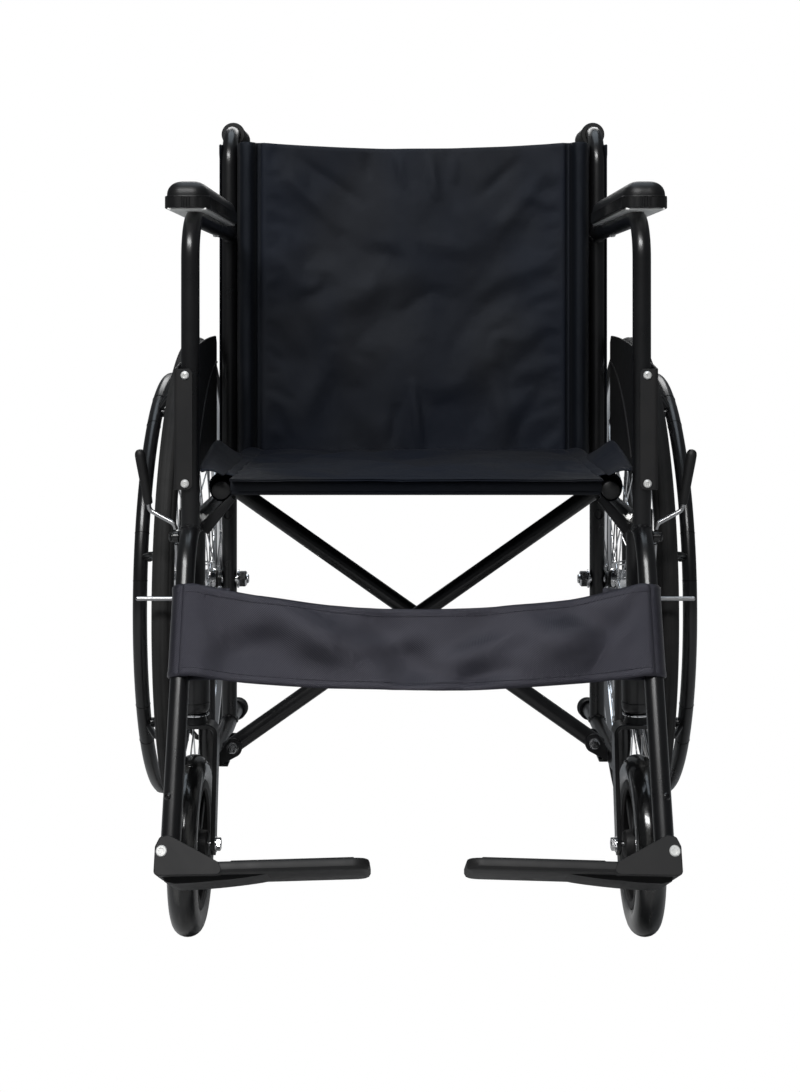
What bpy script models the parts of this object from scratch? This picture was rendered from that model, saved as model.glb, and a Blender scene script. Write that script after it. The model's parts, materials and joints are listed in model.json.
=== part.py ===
"""Folding manual wheelchair with fixed armrests, drawn in metres with +Z up.

The floor is Z = 0, the sitter faces -Y, and the plane X = 0 halves the chair.
Side "R" is the sitter's right, at -X, and side "L" the left, at +X.
Each side frame is a set of round tubes in one plane. Two crossed bars join the frames and
carry the seat rails, so the chair folds sideways like a pair of scissors.
"""

import math

import bmesh
import bpy
from mathutils import Matrix, Vector

GAP = 0.0003  # left between two pieces that touch
SIDES = (("R", -1), ("L", 1))

# Side frame. Places along Y are counted from the armrest's front upright.
TUBE_R = 0.0095
FRAME_X = 0.232
UPRIGHT_Y = -0.2384
POST_Y = UPRIGHT_Y + 0.385
ARM_Z = 0.740
SEAT_TUBE_Z = 0.418
RAIL_Z = 0.125
ARM_BEND_R = 0.045
HANDLE_Z = 0.871
HANDLE_REACH = 0.125
HANDLE_BEND_R = 0.045
GRIP_R = 0.0155
GRIP_LENGTH = 0.085

# Leg tube and footplate. The plate is square to the leg, so its front edge is the higher one.
LEG_CORNER_Y = UPRIGHT_Y - 0.020
LEG_BEND_R = 0.060
PEDAL_PIVOT = Vector((FRAME_X, UPRIGHT_Y - 0.150, 0.128))
LEG_DOWN = (PEDAL_PIVOT - Vector((FRAME_X, LEG_CORNER_Y, SEAT_TUBE_Z))).normalized()
TOE_UP = LEG_DOWN.cross(Vector((1, 0, 0))).normalized()
LEG_PAST_PIVOT = 0.008
PLATE_TOP = 0.0105
PLATE_BOTTOM = 0.0210
PLATE_FRONT = 0.060
PLATE_BACK = -0.035
PLATE_OUTER_X = FRAME_X + 0.0062
PLATE_INNER_X = 0.044
EAR_GAP = 0.0110
REAR_EAR = 0.0200

# Lower rail, front post and caster. The casters point forward, as after the chair rolls back.
LOWER_FRONT_Y = UPRIGHT_Y + 0.145
LOWER_TOP_Z = 0.300
LOWER_BEND_R = 0.048
TIP_Y = UPRIGHT_Y + 0.500
TIP_Z = 0.116
TIP_R = 0.0135
SWIVEL_Y = UPRIGHT_Y + 0.038
FRONT_POST_R = 0.011
BARREL_R = 0.0155
BARREL_Z = (0.2200, 0.2850)
STEM_R = 0.0085
CASTER_R = 0.090
CASTER_WIDTH = 0.030
CASTER_TRAIL = -0.028
FORK_INSIDE = 0.0205
FORK_PLATE = 0.0045
FORK_TOP_Z = 0.2092

# Rear wheel
WHEEL_R = 0.305
WHEEL_X = 0.274
TYRE_HALF = 0.012
RIM_R = (0.2670, 0.2807)
RIM_HALF = 0.0095
HUB_HALF = 0.0265
HUB_R = 0.014
FLANGE_R = 0.024
FLANGE_OUT = 0.020
SPOKES_PER_FLANGE = 18
SPOKE_R = 0.0011
AXLE_R = 0.006
HAND_RIM_R = 0.252
HAND_RIM_X = 0.305
HAND_TUBE_R = 0.008
STANDOFFS = 8
STANDOFF_TURN = math.radians(30.5)
WHEEL_STEPS = 36

# Cross bars and seat
BAR_PIVOT_X = 0.208
BAR_PIVOT_Z = 0.143
BAR_SLOPE = math.radians(35.2)
BAR_Y = UPRIGHT_Y + 0.210
BAR_OFFSET = 0.010
BAR_END = 0.009
BOLT_R = 0.004
SEAT_RAIL_X = 0.203
SEAT_RAIL_Z = 0.4545
SEAT_RAIL_Y = (UPRIGHT_Y + 0.022, UPRIGHT_Y + 0.352)
BRACKET_INNER_X = 0.1915
BRACKET_Z = (0.4135, 0.4442)
BRACKET_THICK = 0.0065
SEAT_TOP = 0.4690
SEAT_HALF = 0.1905
FLAP_HALF = 0.2215

# Soft parts and armrest pad
BACK_TOP = 0.8455
BACK_BOTTOM = 0.456
BACK_HALF = 0.1885
BACK_Y = (POST_Y - 0.025, POST_Y - 0.016)
STRAP_Z = (0.268, 0.370)
STRAP_HALF = 0.2460
PAD_X = 0.235
PAD_WIDTH = 0.048
PAD_Y = (UPRIGHT_Y - 0.012, UPRIGHT_Y + 0.290)
PAD_Z = (0.7465, 0.7750)

# Side panel
PANEL_X = (0.2445, 0.2475)
PANEL_FLANGE_X = 0.2286
PANEL_FRONT = UPRIGHT_Y - 0.0130
PANEL_REAR = UPRIGHT_Y + 0.360
PANEL_BOTTOM = 0.4585
PANEL_TOP = (0.582, 0.612)

# Push-to-lock brake
BRAKE_Y = UPRIGHT_Y + 0.030
BRAKE_Z = 0.405
BRAKE_X = 0.2508
BRAKE_ROD_R = 0.0035
SHOE = Vector((0.298, UPRIGHT_Y + 0.060, 0.335))
LEVER_ELBOW = Vector((0.279, UPRIGHT_Y + 0.034, 0.430))
LEVER_TOP = Vector((0.2895, UPRIGHT_Y + 0.030, 0.492))
BRAKE_GRIP_R = 0.0068


for old in list(bpy.data.objects):
    bpy.data.objects.remove(old, do_unlink=True)

parts = bpy.data.collections.new("manual_wheelchair")
bpy.context.scene.collection.children.link(parts)


def material(name, colour, roughness, metallic=0.0):
    made = bpy.data.materials.new(name)
    made.use_nodes = True
    shader = made.node_tree.nodes["Principled BSDF"]
    shader.inputs["Base Color"].default_value = (*colour, 1)
    shader.inputs["Roughness"].default_value = roughness
    shader.inputs["Metallic"].default_value = metallic
    return made


STEEL = material("black_powder_coat", (0.012, 0.012, 0.014), 0.35, 0.2)
CHROME = material("chrome", (0.75, 0.75, 0.75), 0.15, 1.0)
RUBBER = material("black_rubber", (0.02, 0.02, 0.02), 0.8)
TYRE = material("grey_black_tyre", (0.03, 0.03, 0.03), 0.6)
PVC = material("glossy_caster_tyre", (0.02, 0.02, 0.02), 0.15)
PLASTIC = material("charcoal_plastic", (0.03, 0.03, 0.033), 0.5)
PAD = material("armrest_foam", (0.015, 0.015, 0.016), 0.4)
NYLON = material("seat_nylon", (0.01, 0.011, 0.016), 0.6)
WEBBING = material("strap_weave", (0.04, 0.04, 0.045), 0.75)


# Building blocks


def finish(mesh, sharp_deg=35):
    """Welds a closed mesh, turns its faces outward and shades its round sides smooth."""
    bm = bmesh.new()
    bm.from_mesh(mesh)
    bmesh.ops.remove_doubles(bm, verts=bm.verts, dist=0.00001)
    bmesh.ops.recalc_face_normals(bm, faces=bm.faces)
    bm.to_mesh(mesh)
    bm.free()
    mesh.shade_smooth()
    mesh.set_sharp_from_angle(angle=math.radians(sharp_deg))


def add(name, mesh, look):
    """An object of this mesh, which is drawn in world space."""
    made = bpy.data.objects.new(name, mesh)
    parts.objects.link(made)
    if look:
        mesh.materials.append(look)
    return made


def from_bmesh(name, bm, look):
    mesh = bpy.data.meshes.new(name)
    bm.to_mesh(mesh)
    bm.free()
    finish(mesh)
    return add(name, mesh, look)


def read(source):
    """The evaluated mesh of an object, modifiers and bevels included."""
    graph = bpy.context.evaluated_depsgraph_get()
    return bpy.data.meshes.new_from_object(source.evaluated_get(graph))


def tube(name, points, radius, look=None, resolution=4):
    """A round bar along these points, as a welded mesh."""
    curve = bpy.data.curves.new(name, "CURVE")
    curve.dimensions = "3D"
    spline = curve.splines.new("POLY")
    spline.points.add(len(points) - 1)
    for target, point in zip(spline.points, points):
        target.co = (*point, 1)
    curve.bevel_depth = radius
    curve.bevel_resolution = resolution
    curve.use_fill_caps = True
    guide = bpy.data.objects.new(name, curve)
    parts.objects.link(guide)
    mesh = read(guide)
    bpy.data.objects.remove(guide)
    finish(mesh)
    return add(name, mesh, look)


def rounded(points, radius, steps=6):
    """The corners of a path as arcs of this radius."""
    points = [Vector(p) for p in points]
    path = [points[0]]
    for before, corner, after in zip(points, points[1:], points[2:]):
        back = (before - corner).normalized()
        on = (after - corner).normalized()
        half = back.angle(on) / 2
        centre = corner + (back + on).normalized() * radius / math.sin(half)
        start = corner + back * radius / math.tan(half) - centre
        turn = on.cross(back)
        sweep = math.pi - 2 * half
        for step in range(steps + 1):
            path.append(centre + Matrix.Rotation(sweep * step / steps, 3, turn) @ start)
    return path + [points[-1]]


def rod(name, start, end, radius, look=None, sides=12):
    """A straight cylinder between two points."""
    start, end = Vector(start), Vector(end)
    bm = bmesh.new()
    turn = (end - start).to_track_quat("Z", "Y").to_matrix().to_4x4()
    place = Matrix.Translation((start + end) / 2) @ turn
    bmesh.ops.create_cone(
        bm, cap_ends=True, segments=sides, radius1=radius, radius2=radius,
        depth=(end - start).length, matrix=place,
    )
    return from_bmesh(name, bm, look)


def box(name, low, high, look=None, place=Matrix.Identity(4), bevel=0.0):
    """A box between two corners of the frame that place gives, its edges rounded by bevel."""
    low, high = Vector(low), Vector(high)
    bm = bmesh.new()
    bmesh.ops.create_cube(bm, size=1.0)
    bmesh.ops.scale(bm, vec=high - low, verts=bm.verts)
    if bevel:
        bmesh.ops.bevel(
            bm, geom=bm.edges[:], offset=bevel, segments=2, profile=0.5, affect="EDGES"
        )
    bmesh.ops.transform(bm, matrix=place @ Matrix.Translation((low + high) / 2), verts=bm.verts)
    return from_bmesh(name, bm, look)


def slab(name, outline, thickness, look=None, place=Matrix.Identity(4)):
    """A flat outline in XY, given thickness along +Z, then moved by place."""
    bm = bmesh.new()
    face = bm.faces.new([bm.verts.new((x, y, 0)) for x, y in outline])
    grown = bmesh.ops.extrude_face_region(bm, geom=[face])
    top = [item for item in grown["geom"] if isinstance(item, bmesh.types.BMVert)]
    bmesh.ops.translate(bm, vec=(0, 0, thickness), verts=top)
    bmesh.ops.transform(bm, matrix=place, verts=bm.verts)
    return from_bmesh(name, bm, look)


def turned(name, profile, centre, look=None, steps=WHEEL_STEPS, closed=True):
    """A profile of (radius, offset along X) spun about the X axis through centre."""
    bm = bmesh.new()
    points = [bm.verts.new((along, 0, -radius)) for radius, along in profile]
    pairs = list(zip(points, points[1:]))
    if closed:
        pairs.append((points[-1], points[0]))
    edges = [bm.edges.new(pair) for pair in pairs]
    bmesh.ops.spin(
        bm, geom=points + edges, cent=(0, 0, 0), axis=(1, 0, 0), dvec=(0, 0, 0),
        angle=math.tau, steps=steps, use_merge=True,
    )
    bmesh.ops.translate(bm, vec=centre, verts=bm.verts)
    return from_bmesh(name, bm, look)


def combine(target, others, operation):
    """Unites target with the others, or cuts them out of it, and removes them."""
    for other in others:
        modifier = target.modifiers.new("boolean", "BOOLEAN")
        modifier.operation = operation
        modifier.solver = "EXACT"
        modifier.object = other
        mesh = read(target)
        target.modifiers.clear()
        target.data = mesh
        bpy.data.objects.remove(other)
    finish(target.data)
    return target


def cut(target, *cutters):
    return combine(target, cutters, "DIFFERENCE")


def join(target, *others):
    return combine(target, others, "UNION")


def hang(pivot_name, location, pieces, parent=None):
    """Parents pieces to an empty on their joint's axis."""
    pivot = bpy.data.objects.new(pivot_name, None)
    parts.objects.link(pivot)
    pivot.empty_display_size = 0.02
    pivot.location = location
    if parent:
        pivot.parent = parent
        pivot.matrix_parent_inverse = Matrix.Translation(parent.location).inverted()
    for piece in pieces:
        piece.parent = pivot
        piece.matrix_parent_inverse = Matrix.Translation(location).inverted()
    return pivot


STANDING = Matrix(((1, 0, 0, 0), (0, 0, 1, 0), (0, 1, 0, 0), (0, 0, 0, 1)))


def at(side, x, y, z):
    return Vector((side * x, y, z))


# Paths of the side frame's tubes


def post_path(side):
    corners = [
        at(side, FRAME_X, POST_Y, RAIL_Z),
        at(side, FRAME_X, POST_Y, HANDLE_Z),
        at(side, FRAME_X, POST_Y + HANDLE_REACH, HANDLE_Z),
    ]
    return rounded(corners, HANDLE_BEND_R)


def arm_path(side):
    corners = [
        at(side, FRAME_X, POST_Y, ARM_Z),
        at(side, FRAME_X, UPRIGHT_Y, ARM_Z),
        at(side, FRAME_X, UPRIGHT_Y, SEAT_TUBE_Z),
    ]
    return rounded(corners, ARM_BEND_R)


def leg_path(side):
    end = PEDAL_PIVOT + LEG_DOWN * LEG_PAST_PIVOT
    corners = [
        at(side, FRAME_X, POST_Y, SEAT_TUBE_Z),
        at(side, FRAME_X, LEG_CORNER_Y, SEAT_TUBE_Z),
        at(side, *end),
    ]
    return rounded(corners, LEG_BEND_R)


def lower_path(side):
    corners = [
        at(side, FRAME_X, TIP_Y - 0.012, TIP_Z + 0.001),
        at(side, FRAME_X, POST_Y + 0.035, RAIL_Z),
        at(side, FRAME_X, LOWER_FRONT_Y, RAIL_Z),
        at(side, FRAME_X, LOWER_FRONT_Y, LOWER_TOP_Z),
        at(side, FRAME_X, SWIVEL_Y, LOWER_TOP_Z),
    ]
    return rounded(corners, LOWER_BEND_R, steps=5)


def post_path_cutter(side):
    return tube("cutter", post_path(side), TUBE_R + GAP)


def leg_path_cutter(side):
    return tube("cutter", leg_path(side), TUBE_R + GAP)


def front_post_cutter(side):
    low = at(side, FRAME_X, SWIVEL_Y, BARREL_Z[1])
    high = at(side, FRAME_X, SWIVEL_Y, SEAT_TUBE_Z + TUBE_R)
    return rod("cutter", low, high, FRONT_POST_R + GAP, sides=14)


# Side frame


def back_post(tag, side):
    made = tube("back_post_" + tag, post_path(side), TUBE_R, STEEL)
    below = tube("cutter", lower_path(side), TUBE_R + GAP)
    axle = rod(
        "cutter", at(side, FRAME_X - 0.02, POST_Y, WHEEL_R),
        at(side, FRAME_X + 0.02, POST_Y, WHEEL_R), AXLE_R + GAP,
    )
    return cut(made, below, axle)


def push_grip(tag, side):
    end = HANDLE_REACH + GAP
    bore = TUBE_R + GAP
    start = end + 0.006 - GRIP_LENGTH
    profile = [
        (0, end), (bore, end), (bore, start), (GRIP_R, start), (GRIP_R, end + 0.002),
        (GRIP_R - 0.004, end + 0.006), (0, end + 0.006),
    ]
    made = turned("push_grip_" + tag, profile, (0, 0, 0), RUBBER, steps=14, closed=False)
    turn = Matrix.Rotation(math.pi / 2, 4, "Z")
    made.data.transform(Matrix.Translation(at(side, FRAME_X, POST_Y, HANDLE_Z)) @ turn)
    return made


def armrest_tube(tag, side):
    made = tube("armrest_tube_" + tag, arm_path(side), TUBE_R, STEEL)
    return cut(made, post_path_cutter(side), leg_path_cutter(side))


def armrest_pad(tag, side):
    inner, outer = PAD_X - PAD_WIDTH / 2, PAD_X + PAD_WIDTH / 2
    low = (min(side * inner, side * outer), PAD_Y[0], PAD_Z[0])
    high = (max(side * inner, side * outer), PAD_Y[1], PAD_Z[1])
    made = box("armrest_pad_" + tag, low, high, PAD, bevel=0.007)
    return cut(made, tube("cutter", arm_path(side), TUBE_R + GAP))


def seat_leg_tube(tag, side):
    made = tube("seat_leg_tube_" + tag, leg_path(side), TUBE_R, STEEL)
    bolt = rod(
        "cutter", at(side, *(PEDAL_PIVOT - TOE_UP * 0.03)),
        at(side, *(PEDAL_PIVOT + TOE_UP * 0.03)), BOLT_R + GAP,
    )
    return cut(made, post_path_cutter(side), bolt)


def front_post(tag, side):
    low = at(side, FRAME_X, SWIVEL_Y, BARREL_Z[1] + GAP)
    high = at(side, FRAME_X, SWIVEL_Y, SEAT_TUBE_Z)
    made = rod("front_post_" + tag, low, high, FRONT_POST_R, STEEL, sides=14)
    return cut(made, leg_path_cutter(side))


def caster_barrel(tag, side):
    low = at(side, FRAME_X, SWIVEL_Y, BARREL_Z[0])
    high = at(side, FRAME_X, SWIVEL_Y, BARREL_Z[1])
    made = rod("caster_barrel_" + tag, low, high, BARREL_R, STEEL, sides=16)
    deep = high - Vector((0, 0, 0.006))
    bore = rod("cutter", low - Vector((0, 0, 0.01)), deep, STEM_R + GAP, sides=16)
    return cut(made, bore)


def lower_rail(tag, side):
    made = tube("lower_rail_" + tag, lower_path(side), TUBE_R, STEEL)
    return cut(made, front_post_cutter(side))


def tipping_tip(tag, side):
    """A rubber cap over the rail's rear end, which a helper steps on."""
    path = lower_path(side)
    along = (path[0] - path[1]).normalized()
    made = rod(
        "tipping_tip_" + tag, path[0] - along * 0.022, path[0] + along * 0.012, TIP_R, RUBBER,
        sides=14,
    )
    return cut(made, tube("cutter", [path[0] + along * GAP, path[1]], TUBE_R + GAP))


def seat_bracket(tag, side):
    """The slanted bar that cradles the seat rail."""
    outer = at(side, FRAME_X - TUBE_R - GAP, 0, BRACKET_Z[0])
    inner = at(side, BRACKET_INNER_X, 0, BRACKET_Z[1])
    along = (inner - outer).normalized()
    above = Vector((side * along.z, 0, abs(along.x)))
    turn = Matrix((along, Vector((0, 1, 0)), above)).transposed().to_4x4()
    made = box(
        "seat_bracket_" + tag, (0, UPRIGHT_Y + 0.022, 0),
        ((inner - outer).length, UPRIGHT_Y + 0.050, BRACKET_THICK), STEEL,
        Matrix.Translation(outer) @ turn,
    )
    rail = rod(
        "cutter", at(side, SEAT_RAIL_X, UPRIGHT_Y, SEAT_RAIL_Z),
        at(side, SEAT_RAIL_X, UPRIGHT_Y + 0.08, SEAT_RAIL_Z), TUBE_R + GAP, sides=16,
    )
    return cut(made, rail, leg_path_cutter(side), front_post_cutter(side))


def side_panel(tag, side):
    """A sheet outside the frame, with a lip that is screwed to the front upright."""
    length = PANEL_REAR - PANEL_FRONT
    rise = PANEL_TOP[1] - PANEL_TOP[0]
    top = [
        (PANEL_FRONT + length * t, PANEL_TOP[0] + rise * math.sin(t * math.pi / 2))
        for t in (0, 0.2, 0.4, 0.6, 0.8, 1.0)
    ]
    outline = [(PANEL_REAR, PANEL_BOTTOM), (PANEL_FRONT, PANEL_BOTTOM)] + top
    place = Matrix(((0, 0, 1, side * PANEL_X[0]), (1, 0, 0, 0), (0, 1, 0, 0), (0, 0, 0, 1)))
    made = slab("side_panel_" + tag, outline, side * (PANEL_X[1] - PANEL_X[0]), PLASTIC, place)
    edges = sorted((side * PANEL_FLANGE_X, side * (PANEL_X[1] - 0.001)))
    lip = box(
        "lip", (edges[0], PANEL_FRONT, PANEL_BOTTOM),
        (edges[1], PANEL_FRONT + 0.003, PANEL_TOP[0]),
    )
    return join(made, lip)


def brake_clamp(tag, side):
    face = FRAME_X + TUBE_R + GAP
    edges = sorted((side * face, side * (BRAKE_X - 0.0040)))
    made = box(
        "brake_clamp_" + tag, (edges[0], BRAKE_Y - 0.008, BRAKE_Z - 0.009),
        (edges[1], BRAKE_Y + 0.022, BRAKE_Z + 0.030), STEEL,
    )
    stub = rod(
        "stub", at(side, face + 0.001, BRAKE_Y, BRAKE_Z),
        at(side, BRAKE_X + 0.0070, BRAKE_Y, BRAKE_Z), BOLT_R,
    )
    join(made, stub)
    return cut(made, front_post_cutter(side))


def brake_lever(tag, side):
    """A bent rod on a hub: its lower end is the pin that is pressed against the tyre."""
    hub = at(side, BRAKE_X, BRAKE_Y, BRAKE_Z)
    half = Vector((0.0036, 0, 0))
    made = rod("brake_lever_" + tag, hub - half, hub + half, 0.0095, CHROME, sides=14)
    down = [hub + Vector((0, 0.004, -0.007)), at(side, BRAKE_X, SHOE.y, SHOE.z), at(side, *SHOE)]
    lower = tube("lower", rounded(down, 0.009, steps=4), BRAKE_ROD_R, resolution=2)
    up = [hub + Vector((0, 0.001, 0.007)), at(side, BRAKE_X + 0.002, BRAKE_Y, BRAKE_Z + 0.014)]
    up += [at(side, *LEVER_ELBOW), at(side, *LEVER_ELBOW.lerp(LEVER_TOP, 0.12))]
    upper = tube("upper", rounded(up, 0.006, steps=3), BRAKE_ROD_R, resolution=2)
    join(made, lower, upper)
    return cut(made, rod("cutter", hub - 3 * half, hub + 3 * half, BOLT_R + GAP))


def brake_grip(tag, side):
    low = at(side, *LEVER_ELBOW.lerp(LEVER_TOP, 0.12))
    high = at(side, *LEVER_TOP)
    along = (high - low).normalized()
    return rod("brake_grip_" + tag, low + along * GAP, high, BRAKE_GRIP_R, RUBBER)


def back_sleeve(tag, side):
    """The hem of the back, folded round the inside and the rear of the post."""
    thick = 0.003
    clear = TUBE_R + 2 * GAP
    inside = FRAME_X - clear
    rear = POST_Y + clear
    outside = FRAME_X + clear
    front = BACK_Y[0] + 0.003
    outline = [
        (BACK_HALF + GAP, front),
        (inside, front),
        (inside, rear),
        (outside, rear),
        (outside, POST_Y),
        (outside + thick, POST_Y),
        (outside + thick, rear + thick),
        (inside - thick, rear + thick),
        (inside - thick, front + thick),
        (BACK_HALF + GAP, front + thick),
    ]
    place = Matrix.Translation((0, 0, BACK_BOTTOM + 0.006))
    points = [(side * x, y) for x, y in outline]
    height = BACK_TOP - BACK_BOTTOM - 0.012
    made = slab("back_sleeve_" + tag, points, height, NYLON, place)
    return cut(made, post_path_cutter(side))


def bar_bracket(tag, side):
    """A U-shaped bracket on the lower rail, which holds a cross bar's lower end."""
    centre = BAR_Y + side * BAR_OFFSET
    edges = sorted((side * 0.198, side * (FRAME_X - TUBE_R - GAP)))
    made = box(
        "bar_bracket_" + tag, (edges[0], centre - 0.0135, 0.1215),
        (edges[1], centre + 0.0135, 0.1540), STEEL,
    )
    slot = box(
        "cutter", (edges[0] - 0.01, centre - 0.0100, 0.1250),
        (edges[1] + 0.01, centre + 0.0100, 0.2000),
    )
    bolt = rod(
        "cutter", at(side, BAR_PIVOT_X, centre - 0.03, BAR_PIVOT_Z),
        at(side, BAR_PIVOT_X, centre + 0.03, BAR_PIVOT_Z), BOLT_R + GAP,
    )
    return cut(made, slot, bolt)


def bolt(name, start, end, head_r=0.0070, head=0.0045, radius=BOLT_R, look=CHROME):
    """A bolt with its head at start and its nut at end, both outside the clamped length."""
    start, end = Vector(start), Vector(end)
    along = (end - start).normalized()
    made = rod(name, start - along * head / 2, end + along * head / 2, radius, look)
    top = rod("head", start - along * head, start - along * GAP, head_r, sides=12)
    nut = rod("nut", end + along * GAP, end + along * head, head_r, sides=6)
    return join(made, top, nut)


def bar_bolt(tag, side):
    centre = BAR_Y + side * BAR_OFFSET
    return bolt(
        "bar_bolt_" + tag, at(side, BAR_PIVOT_X, centre - 0.0135, BAR_PIVOT_Z),
        at(side, BAR_PIVOT_X, centre + 0.0135, BAR_PIVOT_Z),
    )


# Rear wheel


def rear_axle(tag, side):
    inner = FRAME_X - TUBE_R - 0.001
    outer = WHEEL_X + HUB_HALF
    return bolt(
        "rear_axle_" + tag, at(side, outer + GAP, POST_Y, WHEEL_R),
        at(side, inner, POST_Y, WHEEL_R), head_r=0.0115, head=0.012, radius=AXLE_R,
    )


def rear_tyre(tag, side):
    middle = WHEEL_R - TYRE_HALF
    profile = [
        (middle + TYRE_HALF * math.cos(a), TYRE_HALF * math.sin(a))
        for a in (math.tau * k / 8 for k in range(8))
    ]
    centre = at(side, WHEEL_X, POST_Y, WHEEL_R)
    return turned("rear_tyre_" + tag, profile, centre, TYRE)


def rear_wheel(tag, side):
    """Rim, hub and spokes, which are laced straight out from the hub's two flanges."""
    centre = at(side, WHEEL_X, POST_Y, WHEEL_R)
    low, high = RIM_R
    profile = [
        (low, -0.003), (low + 0.006, -RIM_HALF), (high, -RIM_HALF),
        (high, RIM_HALF), (low + 0.006, RIM_HALF), (low, 0.003),
    ]
    made = turned("rear_wheel_" + tag, profile, centre, CHROME)
    bore = AXLE_R + GAP
    shape = [(bore, -HUB_HALF), (HUB_R, -HUB_HALF)]
    for sign in (-1, 1):
        edge = sign * FLANGE_OUT
        shape += [(HUB_R, edge - 0.0015), (FLANGE_R, edge - 0.0015)]
        shape += [(FLANGE_R, edge + 0.0015), (HUB_R, edge + 0.0015)]
    shape += [(HUB_R, HUB_HALF), (bore, HUB_HALF)]
    hub = turned("hub", shape, centre, steps=16)
    spokes = []
    for flange, shift in ((-1, 0.25), (1, 0.75)):
        for k in range(SPOKES_PER_FLANGE):
            turn = math.tau * (k + shift) / SPOKES_PER_FLANGE
            out = Vector((0, math.cos(turn), math.sin(turn)))
            start = centre + out * (FLANGE_R - 0.002) + Vector((flange * FLANGE_OUT, 0, 0))
            end = centre + out * (low + 0.003)
            spokes.append(rod("spoke", start, end, SPOKE_R, sides=4))
    return join(made, hub, *spokes)


def hand_rim(tag, side):
    centre = at(side, HAND_RIM_X, POST_Y, WHEEL_R)
    profile = [
        (HAND_RIM_R + HAND_TUBE_R * math.cos(a), HAND_TUBE_R * math.sin(a))
        for a in (math.tau * k / 8 for k in range(8))
    ]
    made = turned("hand_rim_" + tag, profile, centre, STEEL)
    hub = at(side, 0, POST_Y, WHEEL_R)
    legs = []
    for k in range(STANDOFFS):
        turn = STANDOFF_TURN + math.tau * k / STANDOFFS
        out = Vector((0, math.cos(turn), math.sin(turn)))
        start = hub + out * (RIM_R[0] + 0.0065) + Vector((side * (WHEEL_X + RIM_HALF + GAP), 0, 0))
        end = hub + out * (HAND_RIM_R + 0.003) + Vector((side * (HAND_RIM_X - 0.003), 0, 0))
        legs.append(tube("leg", [start, start + Vector((side * 0.004, 0, 0)), end], 0.0035,
                         resolution=2))
    return join(made, *legs)


# Caster


def caster_fork(tag, side):
    axis = at(side, FRAME_X, SWIVEL_Y, 0)
    outer = FORK_INSIDE + FORK_PLATE
    low = FORK_TOP_Z - FORK_PLATE
    made = box(
        "caster_fork_" + tag, (-outer, -0.013, low), (outer, 0.013, FORK_TOP_Z), STEEL,
        Matrix.Translation(axis),
    )
    foot = [
        (CASTER_TRAIL + 0.011 * math.cos(a), CASTER_R + 0.011 * math.sin(a))
        for a in (math.pi + math.pi * k / 6 for k in range(7))
    ]
    outline = [(0.013, FORK_TOP_Z), (-0.013, FORK_TOP_Z)] + foot
    legs = []
    for start in (-outer, FORK_INSIDE):
        place = Matrix(((0, 0, 1, axis.x + start), (1, 0, 0, axis.y), (0, 1, 0, 0), (0, 0, 0, 1)))
        legs.append(slab("leg", outline, FORK_PLATE, None, place))
    stem = rod(
        "stem", axis + Vector((0, 0, FORK_TOP_Z - 0.002)),
        axis + Vector((0, 0, BARREL_Z[1] - 0.007)), STEM_R, sides=16,
    )
    collar = rod(
        "collar", axis + Vector((0, 0, FORK_TOP_Z - 0.001)),
        axis + Vector((0, 0, BARREL_Z[0] - GAP)), STEM_R + 0.0035, sides=16,
    )
    join(made, *legs, collar, stem)
    hub = axis + Vector((0, CASTER_TRAIL, CASTER_R))
    reach = Vector((0.05, 0, 0))
    return cut(made, rod("cutter", hub - reach, hub + reach, BOLT_R + GAP))


def caster_centre(side):
    return at(side, FRAME_X, SWIVEL_Y + CASTER_TRAIL, CASTER_R)


def caster_tyre(tag, side):
    half = CASTER_WIDTH / 2
    profile = [
        (0.064, -half + 0.002), (0.074, -half), (0.082, -half + 0.003), (0.088, -half + 0.008),
        (CASTER_R, -0.003), (CASTER_R, 0.003),
        (0.088, half - 0.008), (0.082, half - 0.003), (0.074, half), (0.064, half - 0.002),
    ]
    return turned("caster_tyre_" + tag, profile, caster_centre(side), PVC, steps=24)


def caster_hub(tag, side):
    bore = BOLT_R + GAP
    rim = 0.064 - GAP
    profile = [
        (bore, -0.017), (0.014, -0.017), (0.016, -0.008), (0.052, -0.004), (0.056, -0.012),
        (rim, -0.012), (rim, 0.012), (0.056, 0.012), (0.052, 0.004), (0.016, 0.008),
        (0.014, 0.017), (bore, 0.017),
    ]
    return turned("caster_hub_" + tag, profile, caster_centre(side), PLASTIC, steps=24)


def caster_axle(tag, side):
    reach = Vector((FORK_INSIDE + FORK_PLATE + GAP, 0, 0))
    centre = caster_centre(side)
    return bolt("caster_axle_" + tag, centre + side * reach, centre - side * reach, head=0.005)


# Footplate


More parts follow.
